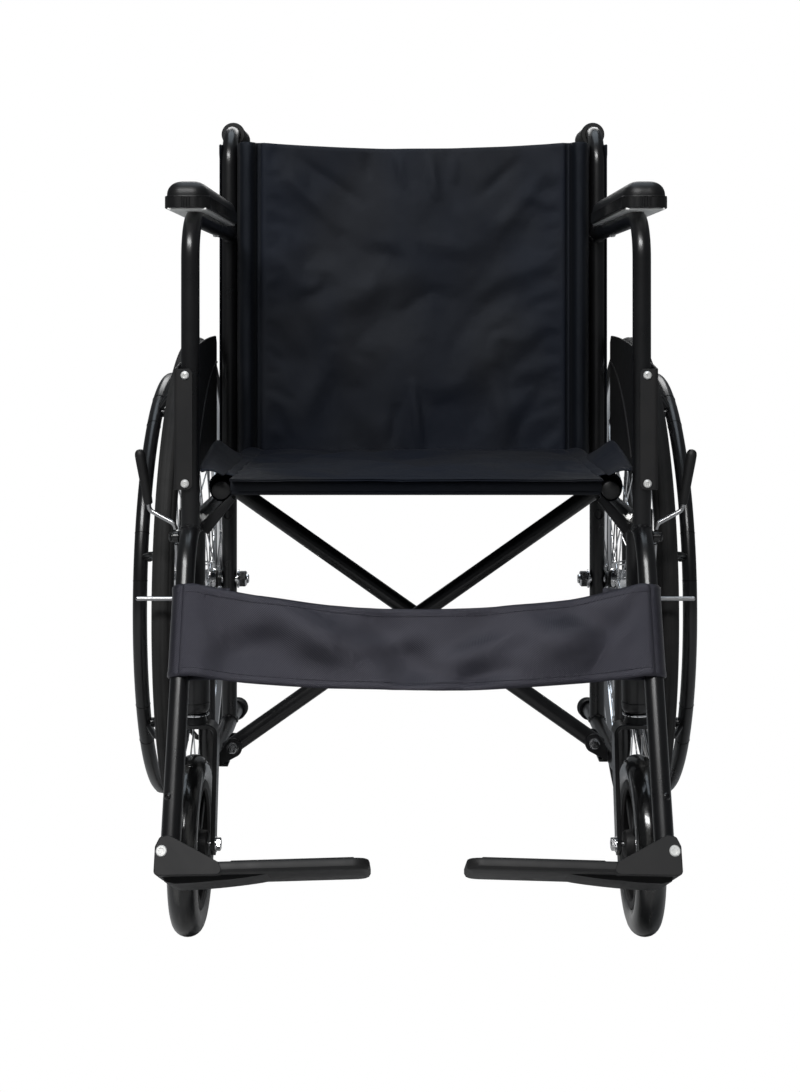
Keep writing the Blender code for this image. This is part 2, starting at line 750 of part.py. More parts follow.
def footplate(tag, side):
    """A plastic plate with two ears that hold the leg's end between them."""
    inward = Vector((-side, 0, 0))
    up = -LEG_DOWN
    pivot = at(side, *PEDAL_PIVOT)
    place = Matrix.Translation(pivot) @ Matrix((inward, TOE_UP, up)).transposed().to_4x4()
    outer = FRAME_X - PLATE_OUTER_X
    length = FRAME_X - PLATE_INNER_X
    made = box(
        "footplate_" + tag, (outer, PLATE_BACK, -PLATE_BOTTOM),
        (length, PLATE_FRONT, -PLATE_TOP), PLASTIC, place, bevel=0.004,
    )
    outline = [
        (outer + 0.0005, -PLATE_TOP - 0.006), (outer + 0.0005, 0.006), (outer + 0.003, 0.013),
        (0.006, 0.013), (0.052, -PLATE_TOP - 0.001), (0.052, -PLATE_TOP - 0.006),
    ]
    ahead = Matrix.Translation((0, EAR_GAP, 0))
    behind = Matrix.Translation((0, -EAR_GAP - REAR_EAR, 0))
    front = slab("ear", outline, PLATE_FRONT - EAR_GAP - GAP, None, place @ ahead @ STANDING)
    rear = slab("ear", outline, REAR_EAR, None, place @ behind @ STANDING)
    join(made, front, rear)
    clear = rod(
        "cutter", pivot - TOE_UP * EAR_GAP, pivot + TOE_UP * EAR_GAP, 0.0135, sides=16
    )
    hole = rod("cutter", pivot - TOE_UP * 0.1, pivot + TOE_UP * 0.1, BOLT_R + GAP)
    return cut(made, clear, hole)


# Cross bars, seat rails and soft parts


def bar_direction(side):
    """From a bar's lower end, on this side, up towards the other side."""
    return Vector((-side * math.cos(BAR_SLOPE), 0, math.sin(BAR_SLOPE)))


def cross_bar(tag, side):
    y = BAR_Y + side * BAR_OFFSET
    low = at(side, BAR_PIVOT_X, y, BAR_PIVOT_Z)
    along = bar_direction(side)
    length = (BAR_PIVOT_X + SEAT_RAIL_X) / math.cos(BAR_SLOPE)
    made = rod("cross_bar_" + tag, low - along * BAR_END, low + along * length, TUBE_R, STEEL)
    reach = Vector((0, 0.03, 0))
    middle = low + along * BAR_PIVOT_X / math.cos(BAR_SLOPE)
    holes = [
        rod("cutter", spot - reach, spot + reach, BOLT_R + GAP) for spot in (low, middle)
    ]
    rail = rod(
        "cutter", (-side * SEAT_RAIL_X, y - 0.05, SEAT_RAIL_Z),
        (-side * SEAT_RAIL_X, y + 0.05, SEAT_RAIL_Z), TUBE_R + GAP,
    )
    return cut(made, *holes, rail)


def bar_crossing():
    return Vector((0, BAR_Y, BAR_PIVOT_Z + BAR_PIVOT_X * math.tan(BAR_SLOPE)))


def seat_rail(tag, side):
    return rod(
        "seat_rail_" + tag, at(side, SEAT_RAIL_X, SEAT_RAIL_Y[0], SEAT_RAIL_Z),
        at(side, SEAT_RAIL_X, SEAT_RAIL_Y[1], SEAT_RAIL_Z), TUBE_R, STEEL,
    )


def centre_bolt():
    reach = Vector((0, BAR_OFFSET + TUBE_R + 0.0005, 0))
    return bolt("centre_bolt", bar_crossing() - reach, bar_crossing() + reach)


def seat_sling():
    low = SEAT_RAIL_Z
    over = SEAT_RAIL_Z + TUBE_R + GAP
    half = [
        (SEAT_HALF, low), (SEAT_HALF + 0.001, over), (FLAP_HALF, over), (FLAP_HALF, SEAT_TOP),
    ]
    outline = half + [(-x, z) for x, z in reversed(half)]
    front = UPRIGHT_Y - 0.001
    place = Matrix.Translation((0, front, 0)) @ STANDING
    return slab("seat_sling", outline, BACK_Y[0] - 0.002 - front, NYLON, place)


def back_panel():
    return box(
        "back_panel", (-BACK_HALF, BACK_Y[0], BACK_BOTTOM), (BACK_HALF, BACK_Y[1], BACK_TOP), NYLON
    )


def calf_strap():
    """A flat band across the front of both legs, parallel to them."""
    up = -LEG_DOWN
    across = Vector((1, 0, 0))
    turn = Matrix((across, across.cross(-up), up)).transposed().to_4x4()
    base = Vector((0, PEDAL_PIVOT.y, PEDAL_PIVOT.z))
    low, high = ((z - base.z) / up.z for z in STRAP_Z)
    clear = TUBE_R + GAP
    return box(
        "calf_strap", (-STRAP_HALF, -clear - 0.0035, low), (STRAP_HALF, -clear, high), WEBBING,
        Matrix.Translation(base) @ turn,
    )


# Assembly

FRAME_PIECES = (
    back_post, push_grip, armrest_tube, armrest_pad, seat_leg_tube, front_post, caster_barrel,
    lower_rail, tipping_tip, seat_bracket, side_panel, brake_clamp, bar_bracket, bar_bolt,
    rear_axle, back_sleeve,
)

frames = {}
for tag, side in SIDES:
    pieces = [make(tag, side) for make in FRAME_PIECES]
    frame = hang("frame_" + tag, at(side, BAR_PIVOT_X, BAR_Y, BAR_PIVOT_Z), pieces)
    frames[tag] = frame
    wheel = [make(tag, side) for make in (rear_tyre, rear_wheel, hand_rim)]
    hang("rear_wheel_axis_" + tag, at(side, WHEEL_X, POST_Y, WHEEL_R), wheel, frame)
    fork = [make(tag, side) for make in (caster_fork, caster_axle)]
    swivel = hang("caster_swivel_" + tag, at(side, FRAME_X, SWIVEL_Y, FORK_TOP_Z), fork, frame)
    roller = [make(tag, side) for make in (caster_tyre, caster_hub)]
    hang("caster_wheel_axis_" + tag, caster_centre(side), roller, swivel)
    brake = [make(tag, side) for make in (brake_lever, brake_grip)]
    hang("brake_axis_" + tag, at(side, BRAKE_X, BRAKE_Y, BRAKE_Z), brake, frame)
    hang("footplate_axis_" + tag, at(side, *PEDAL_PIVOT), [footplate(tag, side)], frame)

for tag, side in SIDES:
    other = "L" if tag == "R" else "R"
    carried = [cross_bar(tag, side), seat_rail(other, -side)]
    hang("bar_axis_" + tag, at(side, BAR_PIVOT_X, BAR_Y, BAR_PIVOT_Z), carried)

hang("fold_axis", bar_crossing(), [centre_bolt()])
for make in (seat_sling, back_panel, calf_strap):
    make()
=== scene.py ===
"""Looks of the folding wheelchair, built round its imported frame.

Sizes are in metres. Side "R" is the sitter's right, at -X, and "L" the left, at +X.
Each piece is drawn in the row frame and rides on the CAD body that it belongs to.
"""

import json
import math

import bmesh
import bpy
from mathutils import Matrix, Vector, noise


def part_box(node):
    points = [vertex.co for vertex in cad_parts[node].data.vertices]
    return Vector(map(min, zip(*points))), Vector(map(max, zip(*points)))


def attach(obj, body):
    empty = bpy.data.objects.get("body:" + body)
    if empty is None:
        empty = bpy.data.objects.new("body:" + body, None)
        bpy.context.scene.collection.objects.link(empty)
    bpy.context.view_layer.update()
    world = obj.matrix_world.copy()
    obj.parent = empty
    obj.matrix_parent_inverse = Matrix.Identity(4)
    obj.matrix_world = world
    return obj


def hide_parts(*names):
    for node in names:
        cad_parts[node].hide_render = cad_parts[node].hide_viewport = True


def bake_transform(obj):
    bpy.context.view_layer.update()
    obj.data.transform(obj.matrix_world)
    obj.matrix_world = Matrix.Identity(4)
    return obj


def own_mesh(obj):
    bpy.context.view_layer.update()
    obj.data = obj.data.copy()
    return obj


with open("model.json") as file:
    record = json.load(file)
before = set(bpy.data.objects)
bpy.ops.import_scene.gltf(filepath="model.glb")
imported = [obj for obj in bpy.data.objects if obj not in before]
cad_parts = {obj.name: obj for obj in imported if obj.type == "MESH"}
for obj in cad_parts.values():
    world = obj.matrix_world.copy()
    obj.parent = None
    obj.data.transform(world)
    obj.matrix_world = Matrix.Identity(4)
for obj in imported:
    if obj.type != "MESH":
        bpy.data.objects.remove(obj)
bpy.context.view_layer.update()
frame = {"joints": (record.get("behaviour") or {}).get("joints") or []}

SIDES = (("R", -1), ("L", 1))
AXES = {j["name"]: Vector(j["pos_m"]) for j in frame["joints"]}

# Places and sizes taken from the frame, for the left side
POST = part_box("back_post_L")
TUBE_R = (POST[1].x - POST[0].x) / 2
FRAME_X = POST[0].x + TUBE_R
POST_Y = POST[0].y + TUBE_R
HANDLE_Z = POST[1].z - TUBE_R
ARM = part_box("armrest_tube_L")
UPRIGHT_Y = ARM[0].y + TUBE_R
ARM_Z = ARM[1].z - TUBE_R
SEAT_TUBE_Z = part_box("seat_leg_tube_L")[1].z - TUBE_R
PEDAL = AXES["footplate_flip_L"]
WHEEL = AXES["rear_wheel_spin_L"]
SWIVEL = AXES["caster_swivel_turn_L"]
CASTER = AXES["caster_wheel_spin_L"]
BRAKE = AXES["brake_lock_L"]
BAR_LOW = AXES["frame_L_pivot"]
BAR_CROSS = AXES["scissor"]
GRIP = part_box("push_grip_L")
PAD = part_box("armrest_pad_L")
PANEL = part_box("side_panel_L")
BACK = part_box("back_panel")
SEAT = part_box("seat_sling")
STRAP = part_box("calf_strap")
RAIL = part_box("seat_rail_L")
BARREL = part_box("caster_barrel_L")
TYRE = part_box("rear_tyre_L")
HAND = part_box("hand_rim_L")
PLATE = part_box("footplate_L")
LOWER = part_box("lower_rail_L")
RAIL_Z = BAR_LOW.z - 0.018
LEG_CORNER_Y = UPRIGHT_Y - 0.020
LEG_DOWN = (PEDAL - Vector((FRAME_X, LEG_CORNER_Y, SEAT_TUBE_Z))).normalized()
TOE_UP = LEG_DOWN.cross(Vector((1, 0, 0))).normalized()


# Camera, floor and light

EYE_X = -0.0155
EYE_AHEAD = 1.69  # of the armrest uprights
EYE_HEIGHT = 0.634
LENS = 54.2
PICTURE_SHIFT = (-0.0009, -0.2088)
SKY = (0.90, 0.95, 1.0, 1)
SKY_STRENGTH = 0.11
FLOOR_REACH = 60
FLOOR_GREY = (0.5, 0.5, 0.5, 1)


def camera():
    """Level, in front of the chair. The shift puts the horizon high in the picture."""
    data = bpy.data.cameras.new("camera")
    data.sensor_width = 36
    data.lens = LENS
    data.shift_x, data.shift_y = PICTURE_SHIFT
    eye = bpy.data.objects.new("camera", data)
    bpy.context.scene.collection.objects.link(eye)
    eye.location = (EYE_X, UPRIGHT_Y - EYE_AHEAD, EYE_HEIGHT)
    eye.rotation_euler = (math.pi / 2, 0, 0)
    bpy.context.scene.camera = eye


def soft_light(name, place, aim, size, power, colour=(1, 1, 1)):
    data = bpy.data.lights.new(name, "AREA")
    data.shape = "RECTANGLE"
    data.size, data.size_y = size
    data.energy = power
    data.color = colour
    lamp = bpy.data.objects.new(name, data)
    bpy.context.scene.collection.objects.link(lamp)
    lamp.location = place
    lamp.rotation_euler = (Vector(aim) - Vector(place)).to_track_quat("-Z", "Y").to_euler()


def by_ray(tree, seen, cast, output):
    """One shader for the camera and another for the light that is cast on things."""
    mix = tree.nodes.new("ShaderNodeMixShader")
    ray = tree.nodes.new("ShaderNodeLightPath")
    tree.links.new(ray.outputs["Is Camera Ray"], mix.inputs["Fac"])
    tree.links.new(cast.outputs[0], mix.inputs[1])
    tree.links.new(seen.outputs[0], mix.inputs[2])
    tree.links.new(mix.outputs[0], output.inputs["Surface"])


def studio():
    """A white sweep that shows no shadow, a long soft box in front and above, and a pale sky."""
    world = bpy.data.worlds.new("studio")
    bpy.context.scene.world = world
    world.use_nodes = True
    tree = world.node_tree
    seen = tree.nodes["Background"]
    seen.inputs["Color"].default_value = (1, 1, 1, 1)
    cast = tree.nodes.new("ShaderNodeBackground")
    cast.inputs["Color"].default_value = SKY
    cast.inputs["Strength"].default_value = SKY_STRENGTH
    by_ray(tree, seen, cast, tree.nodes["World Output"])
    bpy.context.scene.view_settings.view_transform = "Standard"
    mesh = bpy.data.meshes.new("floor")
    reach = FLOOR_REACH
    mesh.from_pydata(
        [(-reach, -reach, 0), (reach, -reach, 0), (reach, reach, 0), (-reach, reach, 0)],
        [], [(0, 1, 2, 3)],
    )
    floor = bpy.data.objects.new("floor", mesh)
    bpy.context.scene.collection.objects.link(floor)
    pale = bpy.data.materials.new("pale_floor")
    pale.use_nodes = True
    tree = pale.node_tree
    cast = tree.nodes["Principled BSDF"]
    cast.inputs["Base Color"].default_value = FLOOR_GREY
    cast.inputs["Roughness"].default_value = 0.9
    seen = tree.nodes.new("ShaderNodeEmission")
    by_ray(tree, seen, cast, tree.nodes["Material Output"])
    mesh.materials.append(pale)
    soft_light("key", (-0.7, -2.5, 2.6), (0, -0.3, 0.35), (2.2, 0.5), 96)
    soft_light("top", (0, 0.4, 3.2), (0, 0, 0.4), (2.2, 2.2), 26, (0.80, 0.90, 1.0))
    soft_light("back", (0.0, 2.4, 2.2), (0, 0, 0.5), (2.0, 1.0), 20)


# Materials


def principled(name, colour, roughness, metallic=0.0, **extra):
    made = bpy.data.materials.new(name)
    made.use_nodes = True
    shader = shader_of(made)
    shader.inputs["Base Color"].default_value = (*colour, 1)
    shader.inputs["Roughness"].default_value = roughness
    shader.inputs["Metallic"].default_value = metallic
    for socket, value in extra.items():
        shader.inputs[socket.replace("_", " ")].default_value = value
    return made


def node(made, kind, **values):
    """A node of this material, its inputs set by name."""
    new = made.node_tree.nodes.new(kind)
    for key, value in values.items():
        if key in new.inputs:
            new.inputs[key].default_value = value
        else:
            setattr(new, key, value)
    return new


def shader_of(made):
    return made.node_tree.nodes["Principled BSDF"]


def link(made, start, end):
    made.node_tree.links.new(start, end)


def place_on(made, kind, stretch=(1, 1, 1), **values):
    """A texture node read in the piece's own space, in metres."""
    space = node(made, "ShaderNodeTexCoord")
    scaled = node(made, "ShaderNodeMapping")
    scaled.inputs["Scale"].default_value = stretch
    link(made, space.outputs["Object"], scaled.inputs["Vector"])
    texture = node(made, kind, **values)
    link(made, scaled.outputs["Vector"], texture.inputs["Vector"])
    return texture


def tint(made, texture, low, high, start=0.35, end=0.65):
    """Base colour between two colours, by a texture."""
    ramp = node(made, "ShaderNodeValToRGB")
    ramp.color_ramp.elements[0].position = start
    ramp.color_ramp.elements[0].color = (*low, 1)
    ramp.color_ramp.elements[1].position = end
    ramp.color_ramp.elements[1].color = (*high, 1)
    link(made, texture.outputs[0], ramp.inputs["Fac"])
    link(made, ramp.outputs["Color"], shader_of(made).inputs["Base Color"])


def roughen(made, texture, low, high):
    spread = node(made, "ShaderNodeMapRange")
    spread.inputs["To Min"].default_value = low
    spread.inputs["To Max"].default_value = high
    link(made, texture.outputs[0], spread.inputs["Value"])
    link(made, spread.outputs["Result"], shader_of(made).inputs["Roughness"])


def emboss(made, texture, depth, strength=1.0):
    """A bump of this depth, on top of any bump the material has."""
    shader = shader_of(made)
    bump = node(made, "ShaderNodeBump")
    bump.inputs["Distance"].default_value = depth
    bump.inputs["Strength"].default_value = strength
    link(made, texture.outputs[0], bump.inputs["Height"])
    earlier = shader.inputs["Normal"].links
    if earlier:
        link(made, earlier[0].from_socket, bump.inputs["Normal"])
    link(made, bump.outputs["Normal"], shader.inputs["Normal"])


def noise_of(made, size, stretch=(1, 1, 1), detail=3.0):
    """Noise whose lumps are about this size, in metres."""
    return place_on(made, "ShaderNodeTexNoise", stretch, Scale=1 / size, Detail=detail)


def powder_coat():
    made = principled(
        "black_powder_coat", (0.005, 0.005, 0.005), 0.30, Coat_Weight=0.15, Coat_Roughness=0.2
    )
    tint(made, noise_of(made, 0.12), (0.0035, 0.0035, 0.004), (0.0065, 0.0065, 0.007))
    roughen(made, noise_of(made, 0.03), 0.24, 0.34)
    emboss(made, noise_of(made, 0.0016), 0.00004)
    return made


def chrome(name="chrome", colour=0.86, roughness=(0.06, 0.16)):
    made = principled(name, (colour, colour, colour * 1.01), 0.12, 1.0)
    roughen(made, noise_of(made, 0.008), *roughness)
    emboss(made, noise_of(made, 0.004), 0.00002)
    return made


def matt_black():
    made = principled("matt_black", (0.004, 0.004, 0.004), 0.75, Specular_IOR_Level=0.15)
    roughen(made, noise_of(made, 0.01), 0.7, 0.85)
    return made


def tyre_rubber():
    made = principled("tyre_rubber", (0.016, 0.016, 0.016), 0.7, Specular_IOR_Level=0.3)
    tint(made, noise_of(made, 0.05, detail=6), (0.011, 0.011, 0.011), (0.019, 0.0185, 0.018))
    roughen(made, noise_of(made, 0.01), 0.62, 0.78)
    emboss(made, noise_of(made, 0.001), 0.00008)
    return made


def grip_rubber():
    made = principled("grip_rubber", (0.006, 0.006, 0.006), 0.55, Specular_IOR_Level=0.35)
    tint(made, noise_of(made, 0.02), (0.005, 0.005, 0.0055), (0.008, 0.008, 0.008))
    emboss(made, noise_of(made, 0.0008), 0.00006)
    return made


def glossy_pvc():
    """Dark glossy tyre with paler streaks painted round it, which are painted reflections."""
    made = principled(
        "glossy_pvc", (0.006, 0.006, 0.006), 0.10, Coat_Weight=0.5, Coat_Roughness=0.06
    )
    # The paler streaks in the base colour are painted reflections, not a mark of the material.
    tint(made, noise_of(made, 0.022, (2.5, 0.5, 0.5), 6), (0.004, 0.004, 0.004),
         (0.075, 0.074, 0.070), 0.50, 0.78)
    roughen(made, noise_of(made, 0.006, detail=5), 0.06, 0.32)
    emboss(made, noise_of(made, 0.009), 0.00025)
    return made


def moulded_plastic():
    made = principled("moulded_plastic", (0.012, 0.012, 0.012), 0.5, Specular_IOR_Level=0.3)
    tint(made, noise_of(made, 0.06), (0.0105, 0.0105, 0.011), (0.0145, 0.014, 0.014))
    roughen(made, noise_of(made, 0.012), 0.46, 0.60)
    emboss(made, noise_of(made, 0.0005), 0.00003)
    return made


def pad_skin():
    made = principled("pad_skin", (0.006, 0.006, 0.006), 0.42, Specular_IOR_Level=0.35)
    tint(made, noise_of(made, 0.02), (0.0045, 0.0045, 0.005), (0.0075, 0.0075, 0.0075))
    grain = place_on(made, "ShaderNodeTexVoronoi", Scale=900.0)
    emboss(made, grain, 0.00008)
    return made


def weave(made, pitch, depth, directions=("X", "Z")):
    """Threads as fine waves, each set running across one direction."""
    for direction in directions:
        threads = place_on(made, "ShaderNodeTexWave", Scale=0.31 / pitch)
        threads.bands_direction = direction
        emboss(made, threads, depth)


def nylon(name, low, high):
    made = principled(
        name, low, 0.6, Sheen_Weight=0.03, Sheen_Roughness=0.4, Specular_IOR_Level=0.27,
        Specular_Tint=(0.80, 0.87, 1.0, 1),
    )
    tint(made, noise_of(made, 0.13, (1, 1, 0.7), 2), low, high, 0.38, 0.62)
    roughen(made, noise_of(made, 0.02), 0.50, 0.66)
    weave(made, 0.0006, 0.00006)
    return made


def strap_weave():
    made = principled(
        "strap_weave", (0.012, 0.012, 0.015), 0.38, Sheen_Weight=0.15, Sheen_Roughness=0.35,
        Specular_Tint=(0.86, 0.85, 1.0, 1),
    )
    tint(made, noise_of(made, 0.05), (0.0090, 0.0088, 0.0130), (0.0150, 0.0145, 0.0185))
    weave(made, 0.0011, 0.00012, ("DIAGONAL",))
    weave(made, 0.0009, 0.00010)
    return made


def pale_plate():
    made = principled("zinc_plate", (0.85, 0.85, 0.83), 0.5, 0.1)
    roughen(made, noise_of(made, 0.01), 0.4, 0.6)
    return made


# Finishes. Each pairs a paint slot's name with a material; pieces take only the material.
STEEL = ("black_steel", powder_coat())
CHROME = ("chrome", chrome())
WIRE = ("chrome", chrome("drawn_wire", 0.42, (0.26, 0.40)))
NICKEL = ("chrome", principled("nickel_plate", (0.82, 0.82, 0.80), 0.30, 0.45))
MATT = ("black_steel", matt_black())
RUBBER = ("tyre_rubber", tyre_rubber())
GRIP_SKIN = ("grip_rubber", grip_rubber())
PVC = ("caster_pvc", glossy_pvc())
PLASTIC = ("charcoal_plastic", moulded_plastic())
SKIN = ("pad_foam", pad_skin())
NYLON = ("nylon", nylon("nylon", (0.0032, 0.0046, 0.0095), (0.0080, 0.0084, 0.0105)))
# The sleeves' nylon is the back's cloth made darker: painted shade where the sleeves sit deep
# between the wheels.
SHADED_NYLON = ("nylon", nylon("shaded_nylon", (0.0008, 0.0016, 0.0036), (0.0018, 0.0026, 0.0044)))
WEBBING = ("strap_weave", strap_weave())
ZINC = ("chrome", pale_plate())


# Shapes. A shape is a list of points and a list of faces, and several make one piece.


def frames_along(path, closed=False):
    """Two unit vectors across the path at each of its points, carried along without twist."""
    count = len(path)
    ahead = []
    for k in range(count):
        after = path[(k + 1) % count] if closed or k + 1 < count else path[k]
        before = path[k - 1] if closed or k else path[k]
        ahead.append((after - before).normalized())
    across = ahead[0].orthogonal().normalized()
    pairs = []
    for k in range(count):
        if k:
            across = ahead[k - 1].rotation_difference(ahead[k]) @ across
        across = (across - ahead[k] * across.dot(ahead[k])).normalized()
        pairs.append((across, ahead[k].cross(across)))
    return pairs


def skin(rings, closed=False, caps=True):
    """Faces over a list of rings of points, all with the same number of points."""
    sides = len(rings[0])
    points = [p for ring in rings for p in ring]
    faces = []
    for k in range(len(rings) if closed else len(rings) - 1):
        low, high = k * sides, (k + 1) % len(rings) * sides
        for i in range(sides):
            j = (i + 1) % sides
            faces.append((low + i, low + j, high + j, high + i))
    if caps and not closed:
        faces.append(tuple(reversed(range(sides))))
        faces.append(tuple(range(len(points) - sides, len(points))))
    return points, faces


def pipe(path, radius, sides=28, closed=False, edge=0.0012):
    """A round tube along a path, its ends eased. Radius may depend on the point's number."""
    path = [Vector(p) for p in path]
    size = radius if callable(radius) else lambda k: radius
    pairs = frames_along(path, closed)
    rings = []
    for k, (point, (u, v)) in enumerate(zip(path, pairs)):
        rings.append([
            point + (u * math.cos(a) + v * math.sin(a)) * size(k)
            for a in (math.tau * i / sides for i in range(sides))
        ])
    if not closed and edge:
        rings = eased(path, rings, edge)
    return skin(rings, closed)


def eased(path, rings, edge):
    """Rings with an eased edge added at each end of a pipe."""
    def shrunk(ring, centre, share, push):
        return [centre + push + (p - centre) * share for p in ring]

    first, last = path[0], path[-1]
    inward = (path[1] - first).normalized() * edge
    outward = (last - path[-2]).normalized() * edge
    radius = (rings[0][0] - first).length
    small = max(0.1, 1 - edge / radius)
    start = [shrunk(rings[0], first, small, Vector()), shrunk(rings[0], first, 1, inward)]
    end = [shrunk(rings[-1], last, 1, -outward), shrunk(rings[-1], last, small, Vector())]
    return start + rings[1:-1] + end


def rounded(points, radius, steps=14):
    """The corners of a path as arcs of this radius."""
    points = [Vector(p) for p in points]
    path = [points[0]]
    for before, corner, after in zip(points, points[1:], points[2:]):
        back = (before - corner).normalized()
        on = (after - corner).normalized()
        half = back.angle(on) / 2
        centre = corner + (back + on).normalized() * radius / math.sin(half)
        start = corner + back * radius / math.tan(half) - centre
        sweep = math.pi - 2 * half
        for step in range(steps + 1):
            turn = Matrix.Rotation(sweep * step / steps, 3, on.cross(back))
            path.append(centre + turn @ start)
    return path + [points[-1]]


def circle(centre, radius, normal=(1, 0, 0), steps=96, start=0.0):
    turn = Vector(normal).to_track_quat("X", "Z").to_matrix()
    return [
        Vector(centre) + turn @ Vector((0, math.cos(a), math.sin(a))) * radius
        for a in (start + math.tau * k / steps for k in range(steps))
    ]


def lathe(profile, centre, axis=(1, 0, 0), steps=64, closed=True):
    """A profile of (radius, place along the axis), spun. An open one has its ends on the axis."""
    turn = Vector(axis).to_track_quat("X", "Z").to_matrix()
    rings = []
    for radius, along in profile:
        rings.append([
            Vector(centre) + turn @ Vector((along, radius * math.cos(a), radius * math.sin(a)))
            for a in (math.tau * k / steps for k in range(steps))
        ])
    return skin(rings, closed, caps=not closed)


def prism(outline, thickness, place=Matrix.Identity(4), edge=0.0008):
    """A flat outline in XY with eased edges, given thickness along +Z, then moved by place."""
    centre = Vector((sum(p[0] for p in outline), sum(p[1] for p in outline), 0)) / len(outline)

    def ring(z, inset):
        made = []
        for x, y in outline:
            point = Vector((x, y, 0))
            pull = (centre - point).normalized() * inset if inset else Vector()
            made.append(place @ (point + pull + Vector((0, 0, z))))
        return made

    rings = [ring(0, edge), ring(edge, 0), ring(thickness - edge, 0), ring(thickness, edge)]
    return skin(rings)


def round_box(low, high, radius, steps=4):
    """A box with rounded edges."""
    bm = bmesh.new()
    bmesh.ops.create_cube(bm, size=1.0)
    low, high = Vector(low), Vector(high)
    bmesh.ops.scale(bm, vec=high - low, verts=bm.verts)
    bmesh.ops.bevel(
        bm, geom=bm.edges[:], offset=radius, segments=steps, profile=0.5, affect="EDGES"
    )
    bmesh.ops.translate(bm, vec=(low + high) / 2, verts=bm.verts)
    bm.verts.index_update()
    points = [v.co.copy() for v in bm.verts]
    faces = [tuple(v.index for v in f.verts) for f in bm.faces]
    bm.free()
    return points, faces


def moved(shape, matrix):
    return [matrix @ Vector(p) for p in shape[0]], shape[1]


def mirrored(side, shape):
    """A shape drawn for the left side, on the given side."""
    if side > 0:
        return shape
    return [Vector((-p[0], p[1], p[2])) for p in shape[0]], [tuple(reversed(f)) for f in shape[1]]


def fine(tag, side, name, shapes, body, finish, replaced=None, sharp_deg=32):
    """A piece drawn for the left side. It replaces the CAD node of its own name, or those given."""
    nodes = [name] if replaced is None else replaced
    return piece(
        f"fine_{name}_{tag}", [mirrored(side, shape) for shape in shapes], f"{body}_{tag}",
        finish, [f"{node_name}_{tag}" for node_name in nodes], sharp_deg,
    )


def piece(name, shapes, body, finish, replaced=(), sharp_deg=32):
    """One object from several closed shapes, dressed and riding on its body."""
    slot, look = finish
    points, faces = [], []
    for some_points, some_faces in shapes:
        shift = len(points)
        points += [tuple(p) for p in some_points]
        faces += [tuple(i + shift for i in f) for f in some_faces]
    mesh = bpy.data.meshes.new(name)
    mesh.from_pydata(points, [], faces)
    bm = bmesh.new()
    bm.from_mesh(mesh)
    bmesh.ops.remove_doubles(bm, verts=bm.verts, dist=0.000001)
    bmesh.ops.dissolve_degenerate(bm, edges=bm.edges, dist=0.000001)
    bmesh.ops.recalc_face_normals(bm, faces=bm.faces)
    bm.to_mesh(mesh)
    bm.free()
    mesh.shade_smooth()
    mesh.set_sharp_from_angle(angle=math.radians(sharp_deg))
    made = bpy.data.objects.new(name, mesh)
    bpy.context.scene.collection.objects.link(made)
    mesh.materials.append(look)
    if body:
        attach(made, body)
    if replaced:
        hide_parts(*replaced)
    return made


def screw(centre, out, radius, height=0.0016, sides=28):
    """A pan head with a cross recess, standing on centre along out."""
    profile = [
        (0.0, height), (radius * 0.16, height), (radius * 0.2, height * 0.6),
        (radius * 0.42, height * 0.6), (radius * 0.46, height),
        (radius * 0.75, height * 0.86), (radius, height * 0.35), (radius, 0), (0.0, 0),
    ]
    return lathe(profile, centre, out, steps=sides, closed=False)


def hexagon(centre, out, across, height):
    """A nut or hexagon head with chamfered corners."""
    radius = across / math.sqrt(3)
    profile = [
        (radius * 0.86, 0), (radius, height * 0.14), (radius, height * 0.86),
        (radius * 0.86, height),
    ]
    return lathe(profile, centre, out, steps=6, closed=False)


def washer(place, out, radius, height, sides=32):
    """A flat disc standing on place along out."""
    return lathe([(0, 0), (radius, 0), (radius, height), (0, height)], place, out, sides, False)


def weld(point, along, across_main, radius, main_radius):
    """The bead round a tube of this radius where it meets a main tube, on the main tube's skin."""
    along = Vector(along).normalized()
    main = Vector(across_main).normalized()
    side = along.cross(main).normalized()
    steps = 56
    path = []
    for k in range(steps):
        a = math.tau * k / steps
        s = radius * math.cos(a)
        out = math.sqrt(max(main_radius ** 2 - s ** 2, 0))
        path.append(Vector(point) + side * s + main * radius * math.sin(a) + along * out)
    return pipe(path, lambda k: 0.0017 + 0.0003 * math.sin(k * 2.2), sides=8, closed=True)


def at(x, y, z):
    return Vector((x, y, z))


def angles(start, end, steps):
    """Angles in radians at even steps between two given in degrees, both ends included."""
    return [math.radians(start + (end - start) * k / steps) for k in range(steps + 1)]


def where(path, y):
    """The point of a path at this place along Y, and the path's direction there."""
    for here, there in zip(path, path[1:]):
        if here.y != there.y and (here.y - y) * (there.y - y) <= 0:
            share = (y - here.y) / (there.y - here.y)
            return here.lerp(there, share), (there - here).normalized()


UP = Vector((0, 0, 1))
OUT = Vector((1, 0, 0))
BACK_WARD = Vector((0, 1, 0))
# Stands an outline drawn in XY up in XZ, its thickness along +Y
UPRIGHT = Matrix(((1, 0, 0, 0), (0, 0, 1, 0), (0, 1, 0, 0), (0, 0, 0, 1)))


# Side frame, drawn for the left side


def post_path():
    end = at(FRAME_X, POST[1].y - 0.0005, HANDLE_Z)
    return rounded([at(FRAME_X, POST_Y, RAIL_Z), at(FRAME_X, POST_Y, HANDLE_Z), end], 0.045)


def arm_path():
    foot = at(FRAME_X, UPRIGHT_Y, SEAT_TUBE_Z - 0.004)
    return rounded([at(FRAME_X, POST_Y, ARM_Z), at(FRAME_X, UPRIGHT_Y, ARM_Z), foot], 0.045)


def leg_path():
    corners = [
        at(FRAME_X, POST_Y, SEAT_TUBE_Z),
        at(FRAME_X, LEG_CORNER_Y, SEAT_TUBE_Z),
        PEDAL + LEG_DOWN * 0.0045,
    ]
    return rounded(corners, 0.060, steps=20)


